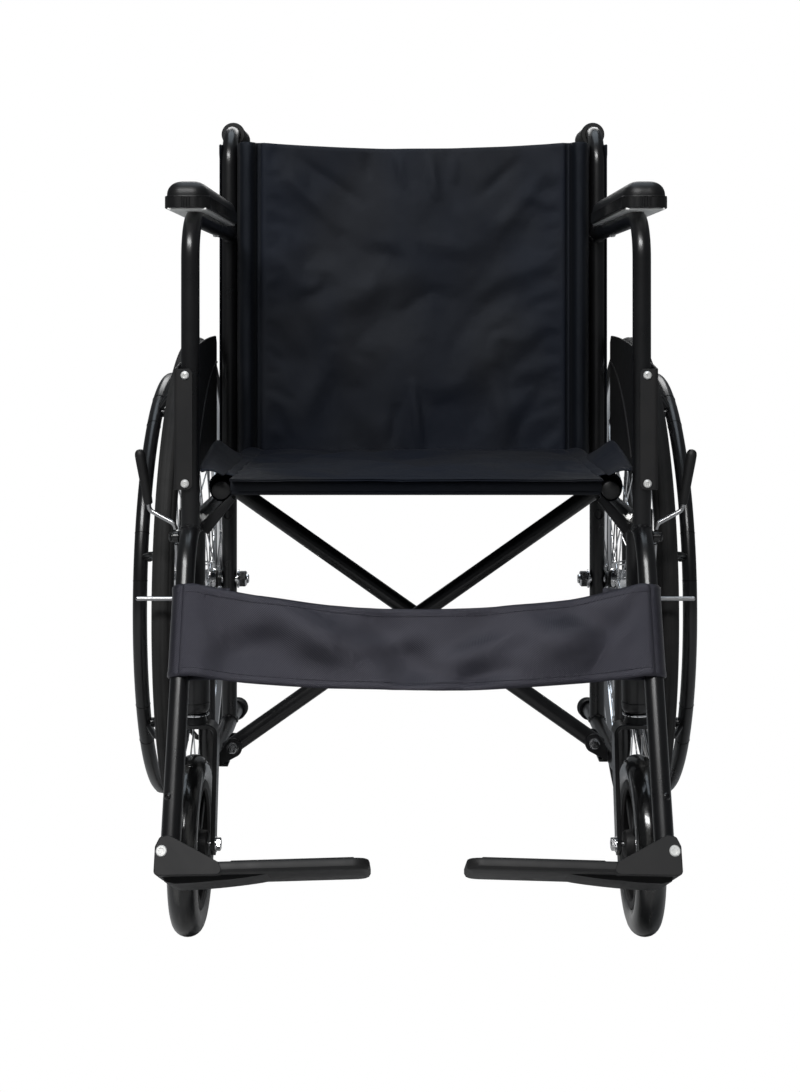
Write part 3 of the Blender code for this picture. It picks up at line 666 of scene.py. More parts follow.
def lower_path():
    front = UPRIGHT_Y + 0.145
    corners = [
        at(FRAME_X, LOWER[1].y, RAIL_Z - 0.008),
        at(FRAME_X, POST_Y + 0.035, RAIL_Z),
        at(FRAME_X, front, RAIL_Z),
        at(FRAME_X, front, LOWER[1].z - TUBE_R),
        at(FRAME_X, SWIVEL.y, LOWER[1].z - TUBE_R),
    ]
    return rounded(corners, 0.048)


def tubes(tag, side):
    leg = leg_path()
    foot, slope = where(leg, UPRIGHT_Y)
    head, tilt = where(leg, SWIVEL.y)
    rivet = PEDAL - LEG_DOWN * 0.055
    sunk, post_r = 0.0007, 0.011
    shapes = {
        "back_post": [
            pipe(post_path(), TUBE_R),
            weld(at(FRAME_X, POST_Y, RAIL_Z), UP, BACK_WARD, TUBE_R, TUBE_R),
        ],
        "armrest_tube": [
            pipe(arm_path(), TUBE_R),
            weld(at(FRAME_X, POST_Y, ARM_Z), -BACK_WARD, UP, TUBE_R, TUBE_R),
            weld(foot, UP, slope, TUBE_R, TUBE_R),
        ],
        "seat_leg_tube": [
            pipe(leg, TUBE_R),
            weld(at(FRAME_X, POST_Y, SEAT_TUBE_Z), -BACK_WARD, UP, TUBE_R, TUBE_R),
            screw(
                rivet + (TOE_UP + OUT * 0.5).normalized() * (TUBE_R - sunk),
                TOE_UP + OUT * 0.5, 0.0036, 0.0022,
            ),
        ],
        "front_post": [
            pipe([at(FRAME_X, SWIVEL.y, BARREL[1].z - 0.001), head], post_r),
            weld(head, -UP, tilt, post_r, TUBE_R),
            weld(at(FRAME_X, SWIVEL.y, LOWER[1].z - TUBE_R), BACK_WARD, UP, TUBE_R, post_r),
            pipe(circle(at(FRAME_X, SWIVEL.y, BARREL[1].z), 0.0118, UP, 40), 0.0018, 8, True),
        ],
        "lower_rail": [pipe(lower_path(), TUBE_R)],
    }
    for name, parts in shapes.items():
        fine(tag, side, name, parts, "frame", STEEL)
    plug = [
        (0, -0.0012), (0.0036, -0.0010), (0.0052, 0.0010), (0.0062, 0.0012), (0.0066, 0.0002),
        (0.0066, -0.003), (0, -0.003),
    ]
    spot = at(FRAME_X + 0.001, POST_Y - TUBE_R + 0.0004, SEAT_TUBE_Z - 0.031)
    plug = lathe(plug, spot, -BACK_WARD, 32, False)
    fine(tag, side, "post_plug", [plug], "frame", PLASTIC, [])


def barrel(tag, side):
    low, high, r = BARREL[0].z, BARREL[1].z, (BARREL[1].x - BARREL[0].x) / 2
    profile = [
        (0.0095, 0.0), (r - 0.005, 0.0), (r - 0.0020, 0.0010), (r - 0.0004, 0.0035),
        (r, 0.007), (r, high - low - 0.004), (r - 0.001, high - low - 0.0012),
        (r - 0.003, high - low), (0.0095, high - low),
    ]
    made = lathe(profile, at(FRAME_X, SWIVEL.y, low), UP, 48)
    seam = pipe(circle(at(FRAME_X, SWIVEL.y, low + 0.011), r, UP, 48), 0.0005, 6, True)
    fine(tag, side, "caster_barrel", [made, seam], "frame", STEEL)


def push_grip(tag, side):
    """A ribbed rubber sleeve with a collar in front and a domed end."""
    start, end = GRIP[0].y, GRIP[1].y
    bore, r = TUBE_R + 0.0003, (GRIP[1].x - GRIP[0].x) / 2
    profile = [(bore, 0), (r - 0.001, 0), (r, 0.001), (r, 0.004), (r - 0.0015, 0.0055)]
    ribs = 9
    pitch = (end - start - 0.024) / ribs
    for k in range(ribs):
        along = 0.008 + pitch * k
        profile += [
            (r - 0.0022, along), (r - 0.0022, along + pitch * 0.42),
            (r - 0.0006, along + pitch * 0.52), (r - 0.0006, along + pitch * 0.92),
        ]
    length = end - start
    profile += [
        (r - 0.0012, length - 0.012), (r - 0.0002, length - 0.008),
        (r - 0.0010, length - 0.003), (r - 0.0040, length - 0.0006), (0, length),
    ]
    profile += [(0, length - 0.004), (bore, length - 0.004)]
    grip = lathe(profile, at(FRAME_X, start, HANDLE_Z), BACK_WARD, 48)
    fine(tag, side, "push_grip", [grip], "frame", GRIP_SKIN)


def pad_outline(inset, ribs):
    """The pad's plan, its sides cut into small upright ribs where ribs is a depth."""
    radius, pitch = 0.0190, 0.0030
    low = Vector((PAD[0].x + inset, PAD[0].y + inset))
    high = Vector((PAD[1].x - inset, PAD[1].y - inset))
    r = radius - inset if inset < radius - 0.003 else 0.003
    corners = [
        (high.x - r, high.y - r, 0), (low.x + r, high.y - r, 90),
        (low.x + r, low.y + r, 180), (high.x - r, low.y + r, 270),
    ]
    points = []
    for k, (x, y, turn) in enumerate(corners):
        for a in angles(turn, turn + 90, 12):
            points.append(Vector((x + r * math.cos(a), y + r * math.sin(a))))
        x2, y2, turn2 = corners[(k + 1) % 4]
        a = math.radians(turn2)
        goal = Vector((x2 + r * math.cos(a), y2 + r * math.sin(a)))
        run = PAD[1].y - PAD[0].y if k % 2 else PAD[1].x - PAD[0].x
        steps = 4 * round((run - 2 * radius) / pitch)
        here = points[-1].copy()
        points += [here.lerp(goal, s / steps) for s in range(1, steps)]
    middle = (low + high) / 2
    made = []
    for k, point in enumerate(points):
        depth = ribs if k % 4 < 2 else 0
        made.append(point + (middle - point).normalized() * depth)
    return made


def armrest_pad(tag, side):
    base, ledge, top = PAD[0].z, PAD[0].z + 0.0130, PAD[1].z
    levels = [
        (base + 0.0004, 0.0030, 0), (base, 0.0018, 0), (base + 0.0004, 0.0004, 0),
        (base + 0.0010, 0.0, 0), (base + 0.0012, 0.0, 0.0008), (ledge - 0.0014, 0.0, 0.0008),
        (ledge - 0.0012, 0.0, 0), (ledge - 0.0002, 0.0002, 0), (ledge, 0.0012, 0),
        (ledge + 0.0004, 0.0020, 0),
    ]
    for k in range(1, 11):
        a = math.pi / 2 * k / 10
        levels.append((
            ledge + (top - ledge) * math.sin(a), 0.0020 + 0.0165 * (1 - math.cos(a)) ** 1.15, 0
        ))
    rings = [
        [at(point.x, point.y, z) for point in pad_outline(inset, ribs)]
        for z, inset, ribs in levels
    ]
    pad = fine(tag, side, "armrest_pad", [skin(rings)], "frame", SKIN, sharp_deg=40)
    plate = round_box(
        (PAD[0].x + 0.004, PAD[0].y + 0.006, base - 0.0016),
        (PAD[1].x - 0.004, PAD[1].y - 0.006, base + 0.0004), 0.0006, 2,
    )
    fine(tag, side, "pad_plate", [plate], "frame", ZINC, [])
    heads = [
        screw(at(FRAME_X, UPRIGHT_Y + y, ARM_Z - TUBE_R + 0.0004), -UP, 0.0038, 0.0022)
        for y in (0.062, 0.235)
    ]
    fine(tag, side, "pad_screws", heads, "frame", NICKEL, [])


def panel_top(y):
    """Height of the side panel's top edge, a rising quarter wave."""
    front, rear = PANEL[0].y, PANEL[1].y
    low = PANEL[1].z - 0.030
    return low + 0.030 * math.sin(min(1, max(0, (y - front) / (rear - front))) * math.pi / 2)


def corner_cut(gap, radius):
    """How much a rounded corner takes off an edge at this distance from its end."""
    return radius - math.sqrt(max(0, radius ** 2 - (radius - min(gap, radius)) ** 2))


def side_panel(tag, side):
    """A moulded sheet with a lip bent round its front, which is screwed to the upright."""
    half, lip_corner, rear_corner = 0.00125, 0.004, 0.008
    front, rear, bottom = PANEL[0].y + half, PANEL[1].y, PANEL[0].z
    face = PANEL[1].x - half
    plan = rounded([at(PANEL[0].x, front, 0), at(face, front, 0), at(face, rear, 0)], 0.0035, 8)
    dense = [plan[0].lerp(plan[1], k / 6) for k in range(6)] + plan[1:-1]
    dense += [plan[-2].lerp(plan[-1], k / 44) for k in range(1, 45)]
    rings = []
    for k, point in enumerate(dense):
        before, after = dense[max(0, k - 1)], dense[min(len(dense) - 1, k + 1)]
        across = (after - before).normalized().cross(UP) * half
        top = panel_top(point.y)
        lip_gap = point.x - PANEL[0].x if k < 7 else lip_corner
        trim = max(corner_cut(lip_gap, lip_corner), corner_cut(rear - point.y, rear_corner))
        low, high = bottom + trim, top - trim
        ease = 0.0006
        rings.append([
            point + across * u + UP * z for u, z in (
                (-0.4, low), (0.4, low), (1, low + ease), (1, high - ease),
                (0.4, high), (-0.4, high), (-1, high - ease), (-1, low + ease),
            )
        ])
    reach, centre = 0.276, WHEEL
    arc = [
        at(face - half, centre.y + reach * math.cos(a), centre.z + reach * math.sin(a))
        for a in angles(96, 142, 30)
    ]
    shapes = [skin(rings), pipe(arc, 0.0016, 10)]
    fine(tag, side, "side_panel", shapes, "frame", PLASTIC)
    heads = []
    for z in (panel_top(front) - 0.0065, bottom + 0.0065):
        heads.append(screw(at(FRAME_X + 0.0040, front - half, z), -BACK_WARD, 0.0042, 0.0024))
    fine(tag, side, "panel_screws", heads, "frame", NICKEL, [])


def seat_bracket(tag, side):
    """A pressed channel, slanting up from the tube to a cradle for the seat rail."""
    outer = at(FRAME_X - TUBE_R + 0.0010, UPRIGHT_Y + 0.036, 0.4150)
    inner = at(0.1915, UPRIGHT_Y + 0.036, 0.4462)
    along = (inner - outer).normalized()
    above = along.cross(BACK_WARD)
    above = above if above.z > 0 else -above
    half, deep, wall, lift, taper = 0.014, 0.0130, 0.0020, 0.0045, 0.45
    rail = at((RAIL[0].x + RAIL[1].x) / 2, outer.y, (RAIL[0].z + RAIL[1].z) / 2)
    clear = (RAIL[1].x - RAIL[0].x) / 2 + 0.0006
    outline = [
        (-half, -deep), (-half, -0.003), (-half + 0.001, -0.001), (-half + 0.003, 0),
        (half - 0.003, 0), (half - 0.001, -0.001), (half, -0.003), (half, -deep),
        (half - wall, -deep), (half - wall, -0.003), (half - 0.003, -wall),
        (-half + 0.003, -wall), (-half + wall, -0.003), (-half + wall, -deep),
    ]
    rings = []
    for k in range(25):
        t = k / 24
        centre = outer.lerp(inner, t)
        ring = []
        for y, c in outline:
            slope = 1 - taper * t if c == -deep else 1
            point = centre + BACK_WARD * y + above * (lift + c * slope)
            flat = Vector((point.x - rail.x, 0, point.z - rail.z))
            if flat.length < clear:
                point = point + flat.normalized() * (clear - flat.length)
            ring.append(point)
        rings.append(ring)
    edge = -BACK_WARD * (half - 0.0008)
    lip = [
        outer.lerp(inner, t) + edge + above * (lift - deep * (1 - taper * t))
        for t in (k / 12 for k in range(13))
    ]
    shapes = [skin(rings), pipe(lip, 0.0013, 10)]
    fine(tag, side, "seat_bracket", shapes, "frame", STEEL)
    stud = outer.lerp(inner, 0.14) - BACK_WARD * 0.004 + above * lift
    shapes = [
        washer(stud, above, 0.0075, 0.0012, 28),
        hexagon(stud + above * 0.0010, above, 0.0090, 0.0045),
        lathe([(0, 0), (0.0028, 0), (0.0024, 0.008), (0, 0.008)], stud, above, 20, False),
    ]
    fine(tag, side, "bracket_bolt", shapes, "frame", NICKEL, [])


def tipping_tip(tag, side):
    """A ribbed rubber cap over the rail's rear end."""
    path = lower_path()
    along = (path[0] - path[1]).normalized()
    r, bore = 0.0135, TUBE_R + 0.0004
    end = path[0] + along * 0.0115
    profile = [(0, 0), (r - 0.004, -0.0004), (r - 0.001, -0.002), (r, -0.0045)]
    for k in range(4):
        a = -0.009 - 0.0055 * k
        profile += [(r, a), (r - 0.0010, a - 0.0008), (r - 0.0010, a - 0.0022), (r, a - 0.003)]
    profile += [(r, -0.0305), (r - 0.001, -0.0325), (bore, -0.0325), (bore, -0.012), (0, -0.012)]
    cap = lathe(profile, end, along, 40)
    fine(tag, side, "tipping_tip", [cap], "frame", GRIP_SKIN)


def bar_bracket(tag, side):
    """The U-shaped bracket that holds a cross bar's lower end, and its bolt."""
    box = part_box(f"bar_bracket_{tag}")
    near, far = abs(box[0].x), abs(box[1].x)
    near, far = min(near, far), max(near, far)
    low = box[0].z
    round_end = [
        (BAR_LOW.x + 0.011 * math.cos(a), BAR_LOW.z + 0.011 * math.sin(a))
        for a in angles(68, 246, 20)
    ]
    cheek = [(far + 0.001, low + 0.001), (far + 0.001, BAR_LOW.z - 0.006)] + round_end
    shapes = []
    sheet = 0.0034
    for y in (box[0].y, box[1].y - sheet):
        place = Matrix.Translation((0, y, 0)) @ UPRIGHT
        shapes.append(prism(cheek, sheet, place, 0.0006))
    floor = round_box(
        (near + 0.015, box[0].y + 0.001, low), (far + 0.001, box[1].y - 0.001, low + 0.003),
        0.0008, 2,
    )
    fine(tag, side, "bar_bracket", shapes + [floor], "frame", STEEL)
    middle = at(BAR_LOW.x, (box[0].y + box[1].y) / 2, BAR_LOW.z)
    half = (box[1].y - box[0].y) / 2
    shank = [middle - BACK_WARD * (half + 0.002), middle + BACK_WARD * (half + 0.008)]
    bolt = [
        hexagon(middle - BACK_WARD * half, -BACK_WARD, 0.0100, 0.0050),
        hexagon(middle + BACK_WARD * half, BACK_WARD, 0.0100, 0.0056),
        pipe(shank, 0.0036, 20),
        washer(middle - BACK_WARD * half, -BACK_WARD, 0.0066, 0.0009, 28),
    ]
    fine(tag, side, "bar_bolt", bolt, "frame", CHROME)


def rear_axle(tag, side):
    """The bolt through hub and post, with washers and nuts on both ends."""
    inner, outer = FRAME_X - TUBE_R - 0.0010, WHEEL.x + 0.0272
    spot = at(inner, WHEEL.y, WHEEL.z)
    end = at(outer, WHEEL.y, WHEEL.z)
    shapes = [
        washer(spot, -OUT, 0.0115, 0.0016, 36),
        hexagon(spot - OUT * 0.0014, -OUT, 0.0180, 0.0100),
        pipe([spot - OUT * 0.0142, end + OUT * 0.010], 0.0058, 28),
        washer(end, OUT, 0.0115, 0.0016, 36),
        hexagon(end + OUT * 0.0014, OUT, 0.0180, 0.0080),
    ]
    fine(tag, side, "rear_axle", shapes, "frame", CHROME)
    spacer = [
        (0.0062, 0), (0.0105, 0), (0.0105, 0.0008), (0.0095, 0.0016), (0.0095, 0.0044),
        (0.0062, 0.0044),
    ]
    collar = lathe(spacer, at(FRAME_X + TUBE_R, WHEEL.y, WHEEL.z), OUT, 36)
    fine(tag, side, "hub_spacer", [collar], "frame", STEEL, [])


# Rear wheel


def tyre_profile():
    """A round tyre with three shallow grooves round its tread and a lip at the rim."""
    r = (TYRE[1].x - TYRE[0].x) / 2
    middle = (TYRE[1].z - TYRE[0].z) / 2 - r
    grooves = (-42, 0, 42)
    points = []
    for k in range(72):
        a = math.radians(5 * k)
        deg = (5 * k + 180) % 360 - 180
        depth = 0.0007 if any(abs(deg - g) < 6 for g in grooves) else 0
        if 100 <= abs(deg) <= 112:
            depth = 0.0009
        points.append((middle + (r - depth) * math.cos(a), (r - depth) * math.sin(a)))
    return points


def rear_wheel(tag, side):
    centre = WHEEL
    body = "rear_wheel_body"
    tyre = lathe(tyre_profile(), centre, OUT, 160)
    fine(tag, side, "rear_tyre", [tyre], body, RUBBER, sharp_deg=45)
    low, high, half = 0.2665, 0.2812, 0.0100
    rim = [
        (low, -0.0030), (low + 0.0015, -0.0060), (low + 0.006, -half + 0.0004),
        (low + 0.0075, -half), (high - 0.001, -half), (high, -half + 0.001),
        (high - 0.001, -half + 0.002), (high - 0.006, -half + 0.0022),
    ]
    rim += [(r, -x) for r, x in reversed(rim)]
    wall = lathe(rim, centre, OUT, 144)
    flange, ring, hub_half = 0.0200, 0.0240, 0.0258
    shell = [(0.0064, -hub_half), (0.0120, -hub_half), (0.0132, -hub_half + 0.0012)]
    shell += [(0.0138, -flange - 0.0022), (ring - 0.0006, -flange - 0.0014)]
    shell += [(ring, -flange - 0.0006), (ring, -flange + 0.0008), (ring - 0.001, -flange + 0.0014)]
    shell += [(0.0150, -flange + 0.0022), (0.0115, -flange + 0.0070), (0.0108, 0)]
    shell += [(r, -x) for r, x in reversed(shell[:-1])]
    hub = lathe(shell, centre, OUT, 64)
    spokes = []
    count, crosses, head_circle = 18, 3, 0.0212
    for end, phase in ((-1, 0.25), (1, 0.75)):
        for k in range(count):
            pull = crosses if k % 2 else -crosses
            near = math.tau * (k + phase) / count
            far = math.tau * (k + pull + phase) / count
            lean = end * (flange + (0.0012 if k % 2 else -0.0012))
            start = at(lean, head_circle * math.cos(near), head_circle * math.sin(near)) + centre
            seat = low + 0.001
            stop = centre + at(end * 0.0018, seat * math.cos(far), seat * math.sin(far))
            spokes.append(pipe([start, stop], 0.0010, 8, edge=0))
            inward = (start - stop).normalized()
            spokes.append(pipe([stop, stop + inward * 0.011], 0.0019, 8, edge=0.0004))
            cap = [(0, 0.0012), (0.0016, 0.0010), (0.0020, 0), (0.0016, -0.0010), (0, -0.0012)]
            spokes.append(lathe(cap, start, OUT, 8, False))
    fine(tag, side, "rear_wheel", [wall, hub] + spokes, body, CHROME, sharp_deg=35)
    bore = [(0.0063, 0), (0.0118, 0), (0.0112, 0.0016), (0.0063, 0.0016)]
    caps = [lathe(bore, centre + OUT * hub_half * s, OUT * s, 40) for s in (-1, 1)]
    fine(tag, side, "dust_caps", caps, body, PLASTIC, [])


def hand_rim(tag, side):
    """The push ring on its standoffs, with a joint line on either side of each."""
    r, tube, standoffs, foot_r = 0.252, 0.0080, 8, 0.2735
    centre = at(HAND[1].x - tube, WHEEL.y, WHEEL.z)
    shapes, lines = [pipe(circle(centre, r, OUT, 192), tube, 24, True)], []
    for k in range(standoffs):
        turn = math.radians(30.5 + 360 / standoffs * k)
        out = at(0, math.cos(turn), math.sin(turn))
        foot = at(WHEEL.x + 0.0102, WHEEL.y, WHEEL.z) + out * foot_r
        rise = [foot, foot + OUT * 0.006, centre + out * (r + 0.003) - OUT * 0.004]
        shapes.append(pipe(rounded(rise, 0.004, 6), 0.0034, 16))
        pad = [(0, 0), (0.0062, 0), (0.0058, 0.0016), (0, 0.0016)]
        shapes.append(lathe(pad, foot, OUT, 24, False))
        stub = centre + out * r - OUT * 0.0125
        boss = [(0, 0), (0.0046, 0), (0.0056, 0.002), (0.0056, 0.006), (0, 0.006)]
        shapes.append(lathe(boss, stub, OUT, 24, False))
        for step in (-6, 6):
            a = turn + math.radians(step)
            ring = centre + at(0, math.cos(a), math.sin(a)) * r
            along = at(0, -math.sin(a), math.cos(a))
            lines.append(pipe(circle(ring, tube, along, 28), 0.0004, 6, True))
    body = "rear_wheel_body"
    fine(tag, side, "hand_rim", shapes, body, STEEL)
    fine(tag, side, "rim_joints", lines, body, MATT, [])


# Caster


def fork(tag, side):
    """A flat bar bent into a U on a stem, its legs swept to the axle and rounded round it."""
    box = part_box(f"caster_fork_{tag}")
    thick, eye_r = 0.0045, 0.0110
    half = (box[1].x - box[0].x) / 2 - thick / 2
    crown, foot = SWIVEL.z - thick / 2, CASTER.z
    end = foot - eye_r
    corners = [at(-half, end, 0), at(-half, crown, 0), at(half, crown, 0), at(half, end, 0)]
    path = rounded(corners, 0.0085, 10)
    leg = [path[0].lerp(path[1], k / 16) for k in range(16)]
    path = leg + path[1:-1] + [path[-2].lerp(path[-1], k / 16) for k in range(1, 17)]
    rings = []
    for k, point in enumerate(path):
        ahead = path[min(k + 1, len(path) - 1)] - path[max(k - 1, 0)]
        across = at(-ahead.y, ahead.x, 0).normalized() * thick / 2
        share = (crown - point.y) / (crown - foot)
        drift = CASTER.y - SWIVEL.y
        middle = SWIVEL.y + drift * min(1, share) ** 1.15
        wide = 0.0130 - 0.0020 * min(1, share)
        past = foot - point.y
        if past > 0:
            wide = math.sqrt(max(eye_r ** 2 - past ** 2, 0.0015 ** 2))
        ring = []
        for u, w in ((-1, -0.93), (-0.7, -1), (0.7, -1), (1, -0.93),
                     (1, 0.93), (0.7, 1), (-0.7, 1), (-1, 0.93)):
            spot = point + across * u
            ring.append(at(FRAME_X + spot.x, middle + wide * w, spot.y))
        rings.append(ring)
    top = BARREL[0].z
    collar = [(0, 0), (0.0135, 0), (0.0125, 0.0030), (0.0118, top - SWIVEL.z - 0.0030),
              (0, top - SWIVEL.z - 0.0030)]
    shapes = [skin(rings), lathe(collar, at(FRAME_X, SWIVEL.y, SWIVEL.z), UP, 40, False)]
    shapes.append(pipe([at(FRAME_X, SWIVEL.y, SWIVEL.z), at(FRAME_X, SWIVEL.y, top + 0.05)],
                       0.0082, 28))
    fine(tag, side, "caster_fork", shapes, "caster_swivel", STEEL)
    race = [(0.0086, 0), (0.0138, 0), (0.0150, 0.0008), (0.0150, 0.0016), (0.0140, 0.0026),
            (0.0086, 0.0026)]
    ring = lathe(race, at(FRAME_X, SWIVEL.y, top - 0.0031), UP, 48)
    fine(tag, side, "head_race", [ring], "caster_swivel", CHROME, [])
    reach = half + thick / 2
    bolt = []
    for s in (-1, 1):
        face = at(FRAME_X + s * reach, CASTER.y, CASTER.z)
        bolt.append(hexagon(face + OUT * s * 0.0010, OUT * s, 0.0118, 0.0046))
        bolt.append(washer(face, OUT * s, 0.0080, 0.0011))
    ends = [at(FRAME_X + s * (reach + 0.0058), CASTER.y, CASTER.z) for s in (-1, 1)]
    bolt.append(pipe(ends, 0.0039, 20))
    fine(tag, side, "caster_axle", bolt, "caster_swivel", CHROME)


def caster_wheel(tag, side):
    """A glossy moulded tyre on a five-spoke hub."""
    r, centre = CASTER.z, at(FRAME_X, CASTER.y, CASTER.z)
    half, seat = 0.0150, 0.0640
    profile = [(seat + 0.0004, -half + 0.003), (seat + 0.003, -half + 0.0014)]
    for k in range(15):
        a = math.pi * k / 14
        profile.append((0.0750 + (r - 0.0750) * math.sin(a) ** 0.9, -half * math.cos(a)))
    profile += [(seat + 0.003, half - 0.0014), (seat + 0.0004, half - 0.003)]
    tyre = lathe(profile, centre, OUT, 120)
    fine(tag, side, "caster_tyre", [tyre], "caster_wheel", PVC, sharp_deg=50)
    bead = [
        (0.0560, -0.0125), (0.0630, -0.0130), (0.0637, -0.0120), (0.0637, 0.0120),
        (0.0630, 0.0130), (0.0560, 0.0125), (0.0545, 0.0100), (0.0560, 0.0030),
        (0.0560, -0.0030), (0.0545, -0.0100),
    ]
    boss = [
        (0.0044, -0.0175), (0.0120, -0.0175), (0.0140, -0.0155), (0.0150, -0.0080),
        (0.0150, 0.0080), (0.0140, 0.0155), (0.0120, 0.0175), (0.0044, 0.0175),
    ]
    shapes = [lathe(bead, centre, OUT, 96), lathe(boss, centre, OUT, 48)]
    shapes.append(lathe(
        [(0.014, -0.0022), (0.0565, -0.0022), (0.0565, 0.0022), (0.014, 0.0022)], centre, OUT, 64
    ))
    for k in range(5):
        spoke = round_box((-0.0085, -0.0065, 0.0120), (0.0085, 0.0065, 0.0565), 0.0018, 3)
        turn = Matrix.Translation(centre) @ Matrix.Rotation(math.tau * (k + 0.25) / 5, 4, "X")
        shapes.append(moved(spoke, turn))
    fine(tag, side, "caster_hub", shapes, "caster_wheel", PLASTIC)


# Footplate


def plate_place():
    inward = Vector((-1, 0, 0))
    return Matrix.Translation(PEDAL) @ Matrix((inward, TOE_UP, -LEG_DOWN)).transposed().to_4x4()


def plate_slab(outer, inner, back, front, bottom, top):
    """The plate, its free end well rounded in plan, its edges eased."""
    ring_at = (
        (bottom, 0.0040), (bottom + 0.0010, 0.0014), (bottom + 0.0034, 0), (top - 0.0030, 0),
        (top - 0.0009, 0.0010), (top, 0.0030),
    )
    rings = []
    for z, inset in ring_at:
        ring = []
        for x, y, turn, radius in (
            (inner, front, 0, 0.016), (outer, front, 90, 0.006), (outer, back, 180, 0.006),
            (inner, back, 270, 0.016),
        ):
            r = radius - inset
            cx = x - radius if x == inner else x + radius
            cy = y - radius if y == front else y + radius
            ring += [
                at(cx + r * math.cos(a), cy + r * math.sin(a), z)
                for a in angles(turn, turn + 90, 10)
            ]
        rings.append(ring)
    return skin(rings)


def tilted(shape, start, rise):
    """A shape whose points climb towards the plate's free end, beyond start."""
    return [p + UP * rise * max(0.0, p.x - start) for p in shape[0]], shape[1]


def footplate(tag, side):
    """A moulded plate with anti-slip bars, side lugs and a rib under its outer half."""
    place = plate_place()
    outer, inner = FRAME_X - PLATE[1].x, FRAME_X - PLATE[0].x
    back, front, top, bottom = -0.035, 0.060, -0.0105, -0.0210
    rise = 0.028
    parts = [plate_slab(outer, inner, back, front, bottom, top)]
    parts += [
        round_box((0.062, b, top - 0.002), (inner - 0.014, b + 0.0040, top + 0.0011), 0.0010, 3)
        for b in (-0.024 + 0.0092 * k for k in range(9))
    ]
    shapes = [moved(tilted(part, outer, rise), place) for part in parts]
    lug = [(outer, bottom - 0.0004), (outer, 0.0040), (outer + 0.004, 0.0125),
           (0.0060, 0.0140), (0.0520, top + 0.0010), (0.0580, bottom + 0.0010)]
    lug = rounded([at(*p, 0) for p in [lug[-1]] + lug + [lug[0]]], 0.0042, 6)[1:-1]
    outline = [(p.x, p.y) for p in lug]
    for b, deep in ((0.0110, front + 0.0004 - 0.0110), (-0.0310, 0.0200)):
        turn = place @ Matrix.Translation((0, b, 0)) @ UPRIGHT
        shapes.append(prism(outline, deep, turn, 0.0010))
    rib = [(outer + 0.004, bottom + 0.003), (outer + 0.008, bottom - 0.0040),
           (outer + 0.016, bottom - 0.0062)]
    rib += [
        (outer + 0.016 + 0.085 * t, bottom - 0.0062 * math.cos(t * math.pi / 2) ** 0.8)
        for t in (k / 12 for k in range(1, 13))
    ]
    rib.append((outer + 0.100, bottom + 0.003))
    web = prism(rib, 0.068, Matrix.Translation((0, -0.024, 0)) @ UPRIGHT, 0.0012)
    shapes.append(moved(tilted(web, outer, rise), place))
    fine(tag, side, "footplate", shapes, "plate", PLASTIC, sharp_deg=30)
    axis = (place.to_3x3() @ BACK_WARD).normalized()
    ahead = PEDAL + axis * (front + 0.0002)
    cup = [(0, 0.0006), (0.0022, 0.0006), (0.0026, 0.0014), (0.0042, 0.0014), (0.0050, 0.0004),
           (0.0050, -0.003), (0, -0.003)]
    shapes = [
        lathe(cup, ahead, axis, 32, False),
        pipe([PEDAL - axis * 0.030, PEDAL + axis * front], 0.0038, 20),
        hexagon(PEDAL - axis * 0.0310, -axis, 0.0110, 0.0050),
    ]
    fine(tag, side, "plate_bolt", shapes, "plate", NICKEL, [])


# Brake


